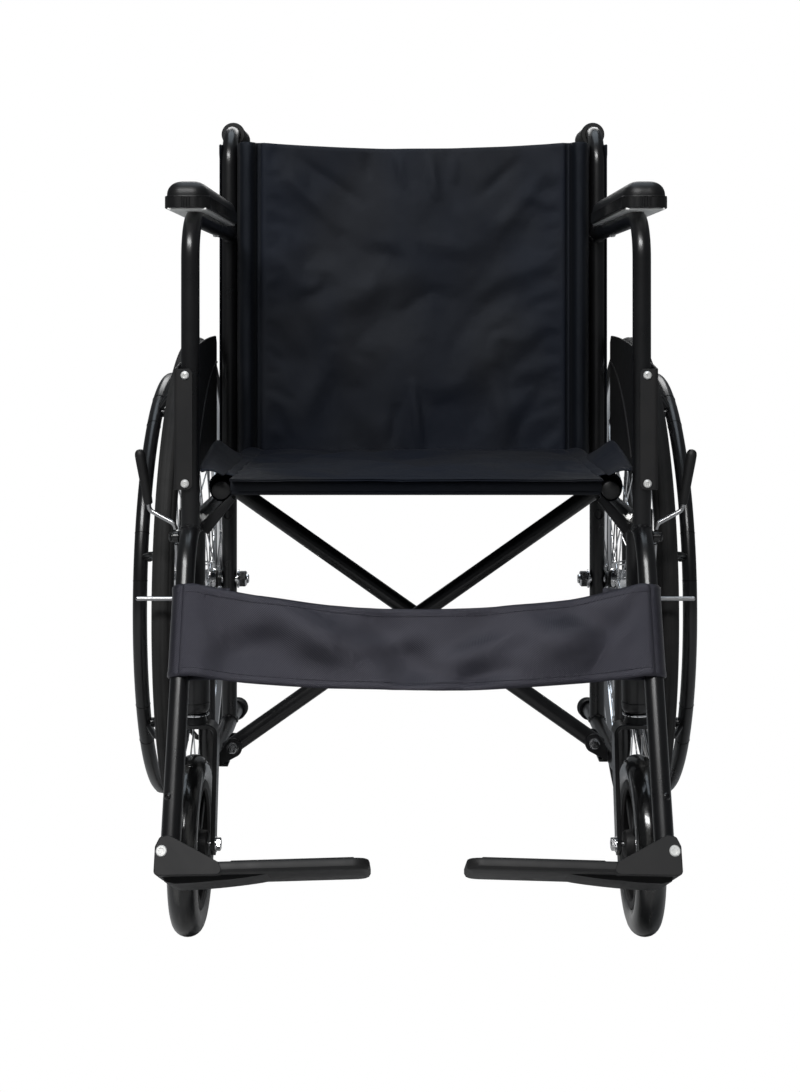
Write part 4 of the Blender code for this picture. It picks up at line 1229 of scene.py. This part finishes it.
def brake(tag, side):
    """A bent rod on a hub. Its lower end is the pin that is pressed against the tyre."""
    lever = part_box(f"brake_lever_{tag}")
    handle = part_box(f"brake_grip_{tag}")
    pin = at(max(abs(lever[0].x), abs(lever[1].x)) - 0.0004, BRAKE.y + 0.030, lever[0].z + 0.0035)
    elbow = at(0.279, BRAKE.y + 0.004, handle[0].z - 0.004)
    top = at(0.2895, BRAKE.y, handle[1].z + 0.0035)
    rod = 0.0024
    ring = [(0.0041, -0.0032), (0.0056, -0.0032), (0.0062, -0.0025), (0.0062, 0.0025),
            (0.0056, 0.0032), (0.0041, 0.0032)]
    low = [BRAKE + at(0, 0.004, -0.007), at(BRAKE.x, pin.y, pin.z), pin]
    high = [
        BRAKE + at(0, 0.001, 0.007), at(BRAKE.x + 0.002, BRAKE.y, BRAKE.z + 0.014), elbow,
        elbow.lerp(top, 0.2),
    ]
    shapes = [
        pipe(rounded(low, 0.010, 10), rod, 18),
        pipe(rounded(high, 0.007, 10), rod, 18),
    ]
    fine(tag, side, "brake_lever", shapes, "brake", WIRE)
    hub = lathe(ring, BRAKE, OUT, 40)
    fine(tag, side, "brake_hub", [hub], "brake", STEEL, [])
    along = (top - elbow).normalized()
    length = (top - elbow).length
    foot = elbow + along * length * 0.10
    full = length * 0.90
    profile = [(0, 0), (0.0036, 0), (0.0044, 0.0010), (0.0047, 0.0040), (0.0050, full * 0.3),
               (0.0055, full * 0.75), (0.0055, full - 0.006), (0.0049, full - 0.003),
               (0.0032, full - 0.0008), (0, full)]
    grip = lathe(profile, foot, along, 32, False)
    fine(tag, side, "brake_grip", [grip], "brake", GRIP_SKIN)
    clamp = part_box(f"brake_clamp_{tag}")
    near = FRAME_X + TUBE_R + 0.0003
    block = round_box(
        (near - 0.0006, clamp[0].y, clamp[0].z), (BRAKE.x - 0.0040, clamp[1].y, clamp[1].z),
        0.0012, 3,
    )
    stub = pipe([at(near, BRAKE.y, BRAKE.z), at(BRAKE.x + 0.0060, BRAKE.y, BRAKE.z)], 0.0039, 20)
    band = [
        at(FRAME_X, BRAKE.y + 0.007, SEAT_TUBE_Z) + at(math.cos(a), 0, math.sin(a)) * 0.0104
        for a in angles(-70, 70, 20)
    ]
    strap = pipe(band, 0.0011, 10)
    shapes = [block, strap, moved(strap, Matrix.Translation((0, 0.010, 0)))]
    fine(tag, side, "brake_clamp", shapes, "frame", STEEL)
    head = [(0, 0), (0.0048, 0), (0.0052, 0.0008), (0.0048, 0.0022), (0.0030, 0.0030), (0, 0.0031)]
    nut = lathe(head, at(BRAKE.x + 0.0044, BRAKE.y, BRAKE.z), OUT, 32, False)
    fine(tag, side, "brake_nut", [stub, nut], "frame", STEEL, [])


# Cross bars and seat rails


def cross_bars():
    """Each bar runs from its own side's bracket to the other side's seat rail."""
    slope = math.atan2(BAR_CROSS.z - BAR_LOW.z, BAR_LOW.x)
    for tag, side in SIDES:
        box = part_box(f"cross_bar_{tag}")
        y = (box[0].y + box[1].y) / 2
        along = at(-side * math.cos(slope), 0, math.sin(slope))
        low = at(side * BAR_LOW.x, y, BAR_LOW.z)
        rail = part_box("seat_rail_" + ("R" if tag == "L" else "L"))
        middle = (rail[0] + rail[1]) / 2
        length = (low - at(middle.x, y, middle.z)).length
        shapes = [
            pipe([low - along * 0.009, low + along * (length - 0.002)], TUBE_R),
            weld(at(middle.x, y, middle.z), -along, BACK_WARD, TUBE_R, TUBE_R),
            pipe([at(middle.x, rail[0].y, middle.z), at(middle.x, rail[1].y, middle.z)], TUBE_R),
        ]
        nodes = [f"cross_bar_{tag}", "seat_rail_" + ("R" if tag == "L" else "L")]
        piece(f"fine_cross_bar_{tag}", shapes, f"bar_{tag}", STEEL, nodes)
        caps = []
        for end, out in ((rail[0].y, -1), (rail[1].y, 1)):
            plug = [(0, 0.0022), (0.0075, 0.0020), (0.0092, 0.0010), (0.0095, 0), (0.0095, -0.002),
                    (0, -0.002)]
            caps.append(lathe(plug, at(middle.x, end, middle.z), BACK_WARD * out, 36, False))
        foot = [(0, 0.0014), (0.0080, 0.0012), (0.0094, 0), (0.0094, -0.002), (0, -0.002)]
        caps.append(lathe(foot, low - along * 0.009, -along, 36, False))
        piece(f"rail_caps_{tag}", caps, f"bar_{tag}", PLASTIC)


def centre_bolt():
    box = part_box("centre_bolt")
    front, rear = box[0].y + 0.0045, box[1].y - 0.0045
    x, z = BAR_CROSS.x, BAR_CROSS.z
    shapes = [
        hexagon(at(x, front, z), -BACK_WARD, 0.0125, 0.0046),
        hexagon(at(x, rear, z), BACK_WARD, 0.0125, 0.0056),
        washer(at(x, front + 0.0004, z), -BACK_WARD, 0.0084, 0.0009, 30),
        pipe([at(x, front - 0.002, z), at(x, rear + 0.0075, z)], 0.0038, 20),
    ]
    piece("fine_centre_bolt", shapes, "bar_R", CHROME, ["centre_bolt"])


# Soft parts. Each is cloth, simulated where it hangs free.


def smooth_path(points, step):
    """A smooth curve through given points, cut at even steps."""
    points = [Vector(p) for p in points]
    dense = []
    for k in range(len(points) - 1):
        p0, p1 = points[max(0, k - 1)], points[k]
        p2, p3 = points[k + 1], points[min(len(points) - 1, k + 2)]
        for s in range(20):
            t = s / 20
            dense.append(0.5 * (
                2 * p1 + (p2 - p0) * t + (2 * p0 - 5 * p1 + 4 * p2 - p3) * t ** 2
                + (3 * p1 - p0 - 3 * p2 + p3) * t ** 3
            ))
    dense.append(points[-1])
    total = sum((b - a).length for a, b in zip(dense, dense[1:]))
    count = max(2, round(total / step))
    made, done, goal = [dense[0]], 0.0, total / count
    for here, there in zip(dense, dense[1:]):
        run = (there - here).length
        while run and done + run >= goal - 1e-9 and len(made) < count:
            made.append(here.lerp(there, (goal - done) / run))
            goal += total / count
        done += run
    return made + [points[-1]]


STRETCH_STIFF, SHEAR_STIFF = 15, 5


def settled(grid, pinned, frames, grow, gravity, bend_stiff, weight=0.15):
    """The grid as cloth after some frames. pinned(i, j) says which of its points are held.

    The cloth is cut larger than the grid by the share grow, which is its slack.
    """
    rows, columns = len(grid), len(grid[0])
    faces = [
        (i * columns + j, i * columns + j + 1, (i + 1) * columns + j + 1, (i + 1) * columns + j)
        for i in range(rows - 1) for j in range(columns - 1)
    ]
    mesh = bpy.data.meshes.new("cloth")
    mesh.from_pydata([tuple(p) for row in grid for p in row], [], faces)
    made = bpy.data.objects.new("cloth", mesh)
    bpy.context.scene.collection.objects.link(made)
    held = [i * columns + j for i in range(rows) for j in range(columns) if pinned(i, j)]
    made.vertex_groups.new(name="pinned").add(held, 1.0, "REPLACE")
    cloth = made.modifiers.new("cloth", "CLOTH")
    settings = cloth.settings
    settings.vertex_group_mass = "pinned"
    settings.quality = 5
    settings.mass = weight / rows / columns * 30
    settings.tension_stiffness = settings.compression_stiffness = STRETCH_STIFF
    settings.shear_stiffness, settings.bending_stiffness = SHEAR_STIFF, bend_stiff
    settings.air_damping = 2.0
    settings.shrink_min = -grow
    settings.effector_weights.gravity = gravity
    cloth.point_cache.frame_start = 1
    cloth.point_cache.frame_end = frames
    scene = bpy.context.scene
    for k in range(1, frames + 1):
        scene.frame_set(k)
    graph = bpy.context.evaluated_depsgraph_get()
    points = [v.co.copy() for v in made.evaluated_get(graph).data.vertices]
    bpy.data.objects.remove(made)
    scene.frame_set(1)
    return [points[i * columns:(i + 1) * columns] for i in range(rows)]


def normals_of(grid):
    rows, columns = len(grid), len(grid[0])

    def normal(i, j):
        along = grid[min(i + 1, rows - 1)][j] - grid[max(i - 1, 0)][j]
        across = grid[i][min(j + 1, columns - 1)] - grid[i][max(j - 1, 0)]
        return along.cross(across).normalized()

    return [[normal(i, j) for j in range(columns)] for i in range(rows)]


def thick_sheet(grid, thickness):
    """A grid of points as closed cloth with rounded edges. Thickness is full, or by (i, j)."""
    rows, columns = len(grid), len(grid[0])
    normals = normals_of(grid)
    full = thickness if callable(thickness) else lambda i, j: thickness
    half = [[full(i, j) / 2 for j in range(columns)] for i in range(rows)]
    front = [grid[i][j] + normals[i][j] * half[i][j] for i in range(rows) for j in range(columns)]
    back = [grid[i][j] - normals[i][j] * half[i][j] for i in range(rows) for j in range(columns)]
    count = rows * columns
    faces = []
    for i in range(rows - 1):
        for j in range(columns - 1):
            a, b = i * columns + j, (i + 1) * columns + j
            faces.append((a, b, b + 1, a + 1))
            faces.append((count + a, count + a + 1, count + b + 1, count + b))
    rim = [(0, j) for j in range(columns)] + [(i, columns - 1) for i in range(1, rows)]
    rim += [(rows - 1, j) for j in range(columns - 2, -1, -1)]
    rim += [(i, 0) for i in range(rows - 2, 0, -1)]
    edge = []
    for i, j in rim:
        inner = grid[min(max(i, 1), rows - 2)][min(max(j, 1), columns - 2)]
        edge.append(grid[i][j] + (grid[i][j] - inner).normalized() * half[i][j])
    points = front + back + edge
    for k, (i, j) in enumerate(rim):
        i2, j2 = rim[(k + 1) % len(rim)]
        a, b = i * columns + j, i2 * columns + j2
        m, n = 2 * count + k, 2 * count + (k + 1) % len(rim)
        faces.append((a, b, n, m))
        faces.append((m, n, count + b, count + a))
    return points, faces


def hemmed(rows, hem, plain, deep):
    """Thickness of cloth whose first and last few rows are folded over as a hem."""
    return lambda i, j: hem if min(i, rows - 1 - i) < deep else plain


def stitches(path, normals, lift, length=0.0030, gap=0.0013, radius=0.00035):
    """A row of thread stitches lying on a surface along a path."""
    made, carried, start = [], 0.0, None
    for here, there, up in zip(path, path[1:], normals):
        run = (there - here).length
        if start is None:
            start = here + up * lift
        carried += run
        if carried >= length:
            made.append(pipe([start, there + up * lift], radius, 6, edge=0.0001))
            carried, start = -gap, None
    return made


def crease(x, z, start, end, width):
    """How far along a fold line a point is touched by it, from 0 to 1."""
    line = Vector((end[0] - start[0], end[1] - start[1]))
    spot = Vector((x - start[0], z - start[1]))
    share = spot.dot(line) / line.length_squared
    off = spot.cross(line) / line.length
    fade = max(0.0, 1 - abs(2 * share - 1) ** 2)
    return fade * math.exp(-(off / width) ** 2)


# Fold lines in the cloth, each from a place to a place (across, up), with its width and depth
BACK_FOLDS = (
    ((0.010, 0.462), (-0.002, 0.560), 0.0045, 0.0028),
    ((-0.028, 0.470), (-0.020, 0.530), 0.0060, -0.0020),
    ((-0.175, 0.830), (-0.085, 0.740), 0.0100, 0.0024),
    ((-0.150, 0.838), (-0.060, 0.775), 0.0070, -0.0018),
    ((0.172, 0.826), (0.100, 0.735), 0.0100, 0.0022),
    ((0.140, 0.838), (0.075, 0.780), 0.0080, -0.0018),
    ((-0.020, 0.842), (-0.012, 0.795), 0.0050, 0.0020),
    ((0.020, 0.842), (0.030, 0.780), 0.0060, 0.0022),
    ((0.052, 0.840), (0.050, 0.800), 0.0050, 0.0018),
    ((-0.060, 0.842), (-0.055, 0.806), 0.0060, -0.0016),
    ((-0.120, 0.640), (0.020, 0.700), 0.0180, 0.0022),
    ((0.060, 0.600), (0.130, 0.690), 0.0160, -0.0024),
    ((-0.140, 0.500), (-0.100, 0.600), 0.0140, 0.0022),
    ((0.120, 0.470), (0.100, 0.570), 0.0120, 0.0024),
)


def wander(point, size, seed):
    return noise.noise(Vector(point) / size + Vector((seed, seed, seed)))


def back_panel():
    """The back, held by its sleeves at both sides, slack enough to sag a little."""
    low, high = BACK[0].z, BACK[1].z + 0.0060
    half = BACK[1].x
    middle = (BACK[0].y + BACK[1].y) / 2
    sag = 0.0065
    columns, rows = 95, 97
    grid = []
    for i in range(rows):
        row = []
        for j in range(columns):
            x = -half + 2 * half * j / (columns - 1)
            bow = 1 - (x / half) ** 2
            z = low + (high - sag * bow - low) * i / (rows - 1)
            y = middle + 0.004 * bow + 0.0030 * bow * wander((x, 0, z), 0.07, 3)
            row.append(at(x, y, z))
        grid.append(row)
    grid = settled(
        grid, lambda i, j: j < 2 or j > columns - 3,
        frames=45, grow=0.006, gravity=1.0, bend_stiff=1.5,
    )
    for row in grid:
        for point in row:
            push = sum(
                1.7 * deep * crease(point.x, point.z, start, end, width)
                for start, end, width, deep in BACK_FOLDS
            )
            hold = min(1, (half - abs(point.x)) / 0.02)
            point.y -= hold * (push + 0.0008 * wander(point, 0.035, 11))
    shapes = [thick_sheet(grid, 0.0032)]
    panel = piece("back_upholstery", shapes, "frame_R", NYLON, ["back_panel"], sharp_deg=60)
    return panel


def sleeve(tag, side):
    """The hem of the back: a soft roll inside the post, then a strip round the post's rear."""
    low, high = BACK[0].z + 0.004, BACK[1].z + 0.0065
    r = TUBE_R + 0.0022
    plan = [
        (BACK[1].x - 0.0025, 0.0010), (0.1915, 0.0038), (0.1962, 0.0036), (0.1988, -0.0040),
        (0.2025, -0.0105), (0.2075, -0.0122), (0.2125, -0.0100), (0.2158, -0.0045),
        (0.2172, 0.0020),
    ]
    plan = [at(x, BACK[0].y + 0.0055 + y, 0) for x, y in plan]
    around = [
        at(FRAME_X + r * math.cos(a), POST_Y + r * math.sin(a), 0)
        for a in angles(196, -2, 9)
    ]
    path = smooth_path(plan + around, 0.0020)
    rows = 72
    grid = []
    for i in range(rows):
        z = low + (high - low) * i / (rows - 1)
        row = []
        for k, point in enumerate(path):
            share = k / len(path)
            loose = max(0, 1 - abs(share - 0.30) / 0.22)
            wave = 0.0016 * loose * wander((side * 3, share * 0.02, z), 0.045, 5)
            end = min(1, min(i, rows - 1 - i) / 4)
            row.append(at(point.x, point.y - wave + 0.002 * loose * (1 - end), z))
        grid.append(row)

    # The darker nylon paints the shade that falls on the sleeves.
    shapes = [mirrored(side, thick_sheet(grid, hemmed(rows, 0.0026, 0.0018, 3)))]
    made = piece(
        f"sleeve_{tag}", shapes, f"frame_{tag}", SHADED_NYLON, [f"back_sleeve_{tag}"], 60
    )


def seat_profile():
    """The seat's section along Y and Z: rear top, forward, down the rolled front and back."""
    front, rear = SEAT[0].y, SEAT[1].y
    top, bottom = SEAT[1].z, SEAT[1].z - 0.0165
    nose = (top - bottom) / 2
    points = [at(0, rear, top), at(0, front + nose, top)]
    points += [
        at(0, front + nose - nose * math.sin(a), bottom + nose + nose * math.cos(a))
        for a in (math.pi * k / 10 for k in range(1, 10))
    ]
    points += [
        at(0, front + nose + 0.004, bottom + 0.0005),
        at(0, front + nose + 0.020, bottom + 0.0080),
        at(0, rear, bottom + 0.0080),
    ]
    return smooth_path(points, 0.0052)


FLAP_COLUMNS = 11


def seat_flap(side):
    """The loose edge beyond the seam: it curls up beside the sitter and ends short of the back."""
    front, length, rows = SEAT[0].y + 0.001, 0.205, 60
    grid = []
    for i in range(rows):
        t = i / (rows - 1)
        narrow = math.sqrt(max(0.02, 1 - max(0.0, (t - 0.86) / 0.14) ** 2))
        narrow *= 1 - 0.10 * math.exp(-(t / 0.05) ** 2)
        climb = 0.0050 + 0.0165 * math.sin(min(1, t / 0.85) * math.pi / 2) ** 1.2
        row = []
        for j in range(FLAP_COLUMNS):
            u = j / (FLAP_COLUMNS - 1)
            y = front + length * t
            lift = climb * (u * narrow) ** 1.4 + 0.0030 * math.sin(math.pi * u)
            lift += 0.0009 * u * wander((side, y, u * 0.02), 0.04, 21)
            row.append(at(0.1985 + 0.0248 * u * narrow, y, SEAT[1].z + 0.0036 + lift))
        grid.append(row)
    return grid


def flap_thickness(i, j):
    return 0.0032 if j > FLAP_COLUMNS - 3 else 0.0020


def seat():
    """The sling, its front rolled over, with a tunnel for each seat rail."""
    half = RAIL[0].x - 0.0035
    profile = seat_profile()
    columns = 75
    nose = SEAT[0].y + 0.008
    grid = []
    for point in profile:
        row = []
        for j in range(columns):
            x = -half + 2 * half * j / (columns - 1)
            row.append(at(x, point.y, point.z + 0.0006 * wander((x, point.y, point.z), 0.03, 2)))
        grid.append(row)
    grid = settled(
        grid, lambda i, j: j < 1 or j > columns - 2 or grid[i][j].y < nose
        or i == 0 or i >= len(profile) // 2,
        frames=30, grow=0.008, gravity=0.10, bend_stiff=1.2, weight=0.12,
    )
    for row in grid:
        for point in row:
            edge = min(1, (half - abs(point.x)) / 0.012)
            point.z = min(point.z, SEAT[1].z + 0.004 * edge)
            point.z = max(point.z, SEAT[1].z - 0.0185)
    shapes = [thick_sheet(grid, 0.0020)]
    front = SEAT[0].y
    welt = [
        at(x, front + 0.0030 + 0.0004 * wander((x, 0, 0), 0.05, 9), SEAT[1].z - 0.0145)
        for x in (-half + 2 * half * k / 60 for k in range(61))
    ]
    shapes.append(pipe(welt, 0.0028, 12, edge=0.001))
    tunnel = [
        (half - 0.0015, 0.0002), (0.1985, 0.0026), (0.2050, 0.0024), (0.2108, 0.0000),
        (0.2144, -0.0050), (0.2150, -0.0120), (0.2130, -0.0195), (0.2080, -0.0246),
        (0.2020, -0.0258), (0.1955, -0.0235), (0.1920, -0.0150), (0.1905, -0.0060),
        (half - 0.001, -0.0018),
    ]
    rear = SEAT[1].y - 0.002
    for side in (-1, 1):
        path = smooth_path([at(x, 0, SEAT[1].z + z) for x, z in tunnel], 0.0025)
        rows, start = 66, RAIL[0].y + 0.005
        loop = []
        for i in range(rows):
            y = start + (rear - start) * i / (rows - 1)
            loose = [0.0011 * wander((side, y, k * 0.0025), 0.03, 7) for k in range(len(path))]
            loop.append([
                at(p.x, y, p.z + (w if k < len(path) * 0.4 else 0))
                for k, (p, w) in enumerate(zip(path, loose))
            ])
        end = at(half - 0.0008, front + 0.0078, SEAT[1].z - 0.0080)
        roll = [(0, 0.0024), (0.0042, 0.0018), (0.0066, 0.0004), (0.0070, -0.0016), (0, -0.0016)]
        shapes.append(mirrored(side, lathe(roll, end, OUT, 28, False)))
        shapes.append(mirrored(side, thick_sheet(loop, 0.0017)))
        shapes.append(mirrored(side, thick_sheet(seat_flap(side), flap_thickness)))
    made = piece("seat_upholstery", shapes, "", NYLON, ["seat_sling"], sharp_deg=60)
    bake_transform(made)


def strap_place():
    """From the strap's own frame: X across, Y behind it, Z up along the legs."""
    up = -LEG_DOWN
    turn = Matrix((OUT, up.cross(OUT), up)).transposed().to_4x4()
    return Matrix.Translation((0, PEDAL.y, PEDAL.z)) @ turn


# As BACK_FOLDS, measured up from the strap's lower edge
STRAP_FOLDS = (
    ((-0.160, 0.092), (-0.020, 0.004), 0.022, 0.0075),
    ((-0.215, 0.012), (-0.110, 0.060), 0.017, -0.0045),
    ((-0.050, 0.085), (0.020, 0.010), 0.018, -0.0055),
    ((0.010, 0.022), (0.110, 0.060), 0.014, 0.0050),
    ((0.080, 0.090), (0.175, 0.018), 0.020, 0.0060),
    ((0.140, 0.080), (0.218, 0.040), 0.013, -0.0040),
    ((0.035, 0.008), (0.105, 0.022), 0.010, -0.0040),
    ((-0.070, 0.040), (0.015, 0.062), 0.012, 0.0035),
)


def round_leg(radius, start, end, steps=10):
    """Points in plan round the leg tube, drawn for the left side; angles in degrees."""
    return [
        at(FRAME_X + radius * math.cos(a), radius * math.sin(a), 0)
        for a in angles(start, end, steps)
    ]


def strap():
    """The calf strap: a slack band between the legs, its ends sewn over a loop round each."""
    place = strap_place()
    up = -LEG_DOWN
    low, high = ((z - PEDAL.z) / up.z for z in (STRAP[0].z + 0.0105, STRAP[1].z - 0.0120))
    wrap = TUBE_R + 0.0014
    lap = wrap + 0.0024
    half = FRAME_X - 0.001
    columns, rows = 107, 27
    plan = [at(half * (2 * j / (columns - 1) - 1), -lap, 0) for j in range(columns)]
    grid = []
    for i in range(rows):
        share = i / (rows - 1)
        z = low + (high - low) * share
        row = []
        for point in plan:
            bow = max(0.0, 1 - (point.x / (half - 0.010)) ** 2)
            wave = bow ** 0.5 * wander((point.x * 0.9, 0, z * 1.3), 0.085, 17)
            wave += 0.35 * bow * wander((point.x, 0, z), 0.04, 31)
            drop = bow * (0.011 + 0.010 * share)
            row.append(place @ at(point.x, point.y - 0.0075 * wave, z - drop))
        grid.append(row)
    grid = settled(
        grid, lambda i, j: abs(grid[i][j].x) > half - 0.012,
        frames=45, grow=0.004, gravity=0.7, bend_stiff=4.0, weight=0.2,
    )
    toward = place.to_3x3() @ BACK_WARD
    for i, row in enumerate(grid):
        z = (high - low) * i / (rows - 1)
        for point in row:
            push = sum(
                1.35 * deep * crease(point.x, z, start, end, width)
                for start, end, width, deep in STRAP_FOLDS
            )
            point -= toward * push * min(1, max(0, half - 0.012 - abs(point.x)) / 0.03)

    thickness = hemmed(rows, 0.0030, 0.0020, 2)
    normals = normals_of(grid)
    shapes = [thick_sheet(grid, thickness)]
    for i in (2, rows - 3):
        face = [n if n.y < 0 else -n for n in normals[i]]
        shapes += stitches(grid[i], face, 0.0011)
    band = piece("strap_band", shapes, "frame_R", WEBBING, ["calf_strap"], 60)
    for tag, side in SIDES:
        path = [at(FRAME_X - 0.009 + 0.0028 * k, -wrap, 0) for k in range(3)]
        path += round_leg(wrap, -90, 90, 15)
        path += [at(FRAME_X - 0.0040 * k, wrap - 0.0006 * k, 0) for k in range(1, 12)]
        path = smooth_path(path, 0.0022)
        loop = [
            [place @ at(p.x, p.y, low + (high - low) * i / (rows - 1)) for p in path]
            for i in range(rows)
        ]
        shape = mirrored(side, thick_sheet(loop, thickness))
        made = piece(f"strap_loop_{tag}", [shape], f"frame_{tag}", WEBBING, (), 60)
    return band, half


def soft_parts():
    """Everything sewn. Folding brings the left frame to the right one; the back and the strap band
    ride on the right frame.
    """
    for tag, side in SIDES:
        sleeve(tag, side)
    panel = back_panel()
    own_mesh(panel)
    band, half = strap()
    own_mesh(band)
    seat()


MADE_ON_EACH_SIDE = (
    tubes, barrel, push_grip, armrest_pad, side_panel, seat_bracket, tipping_tip, bar_bracket,
    rear_axle, rear_wheel, hand_rim, fork, caster_wheel, footplate, brake,
)
for tag, side in SIDES:
    for make in MADE_ON_EACH_SIDE:
        make(tag, side)
cross_bars()
centre_bolt()
soft_parts()

camera()
studio()
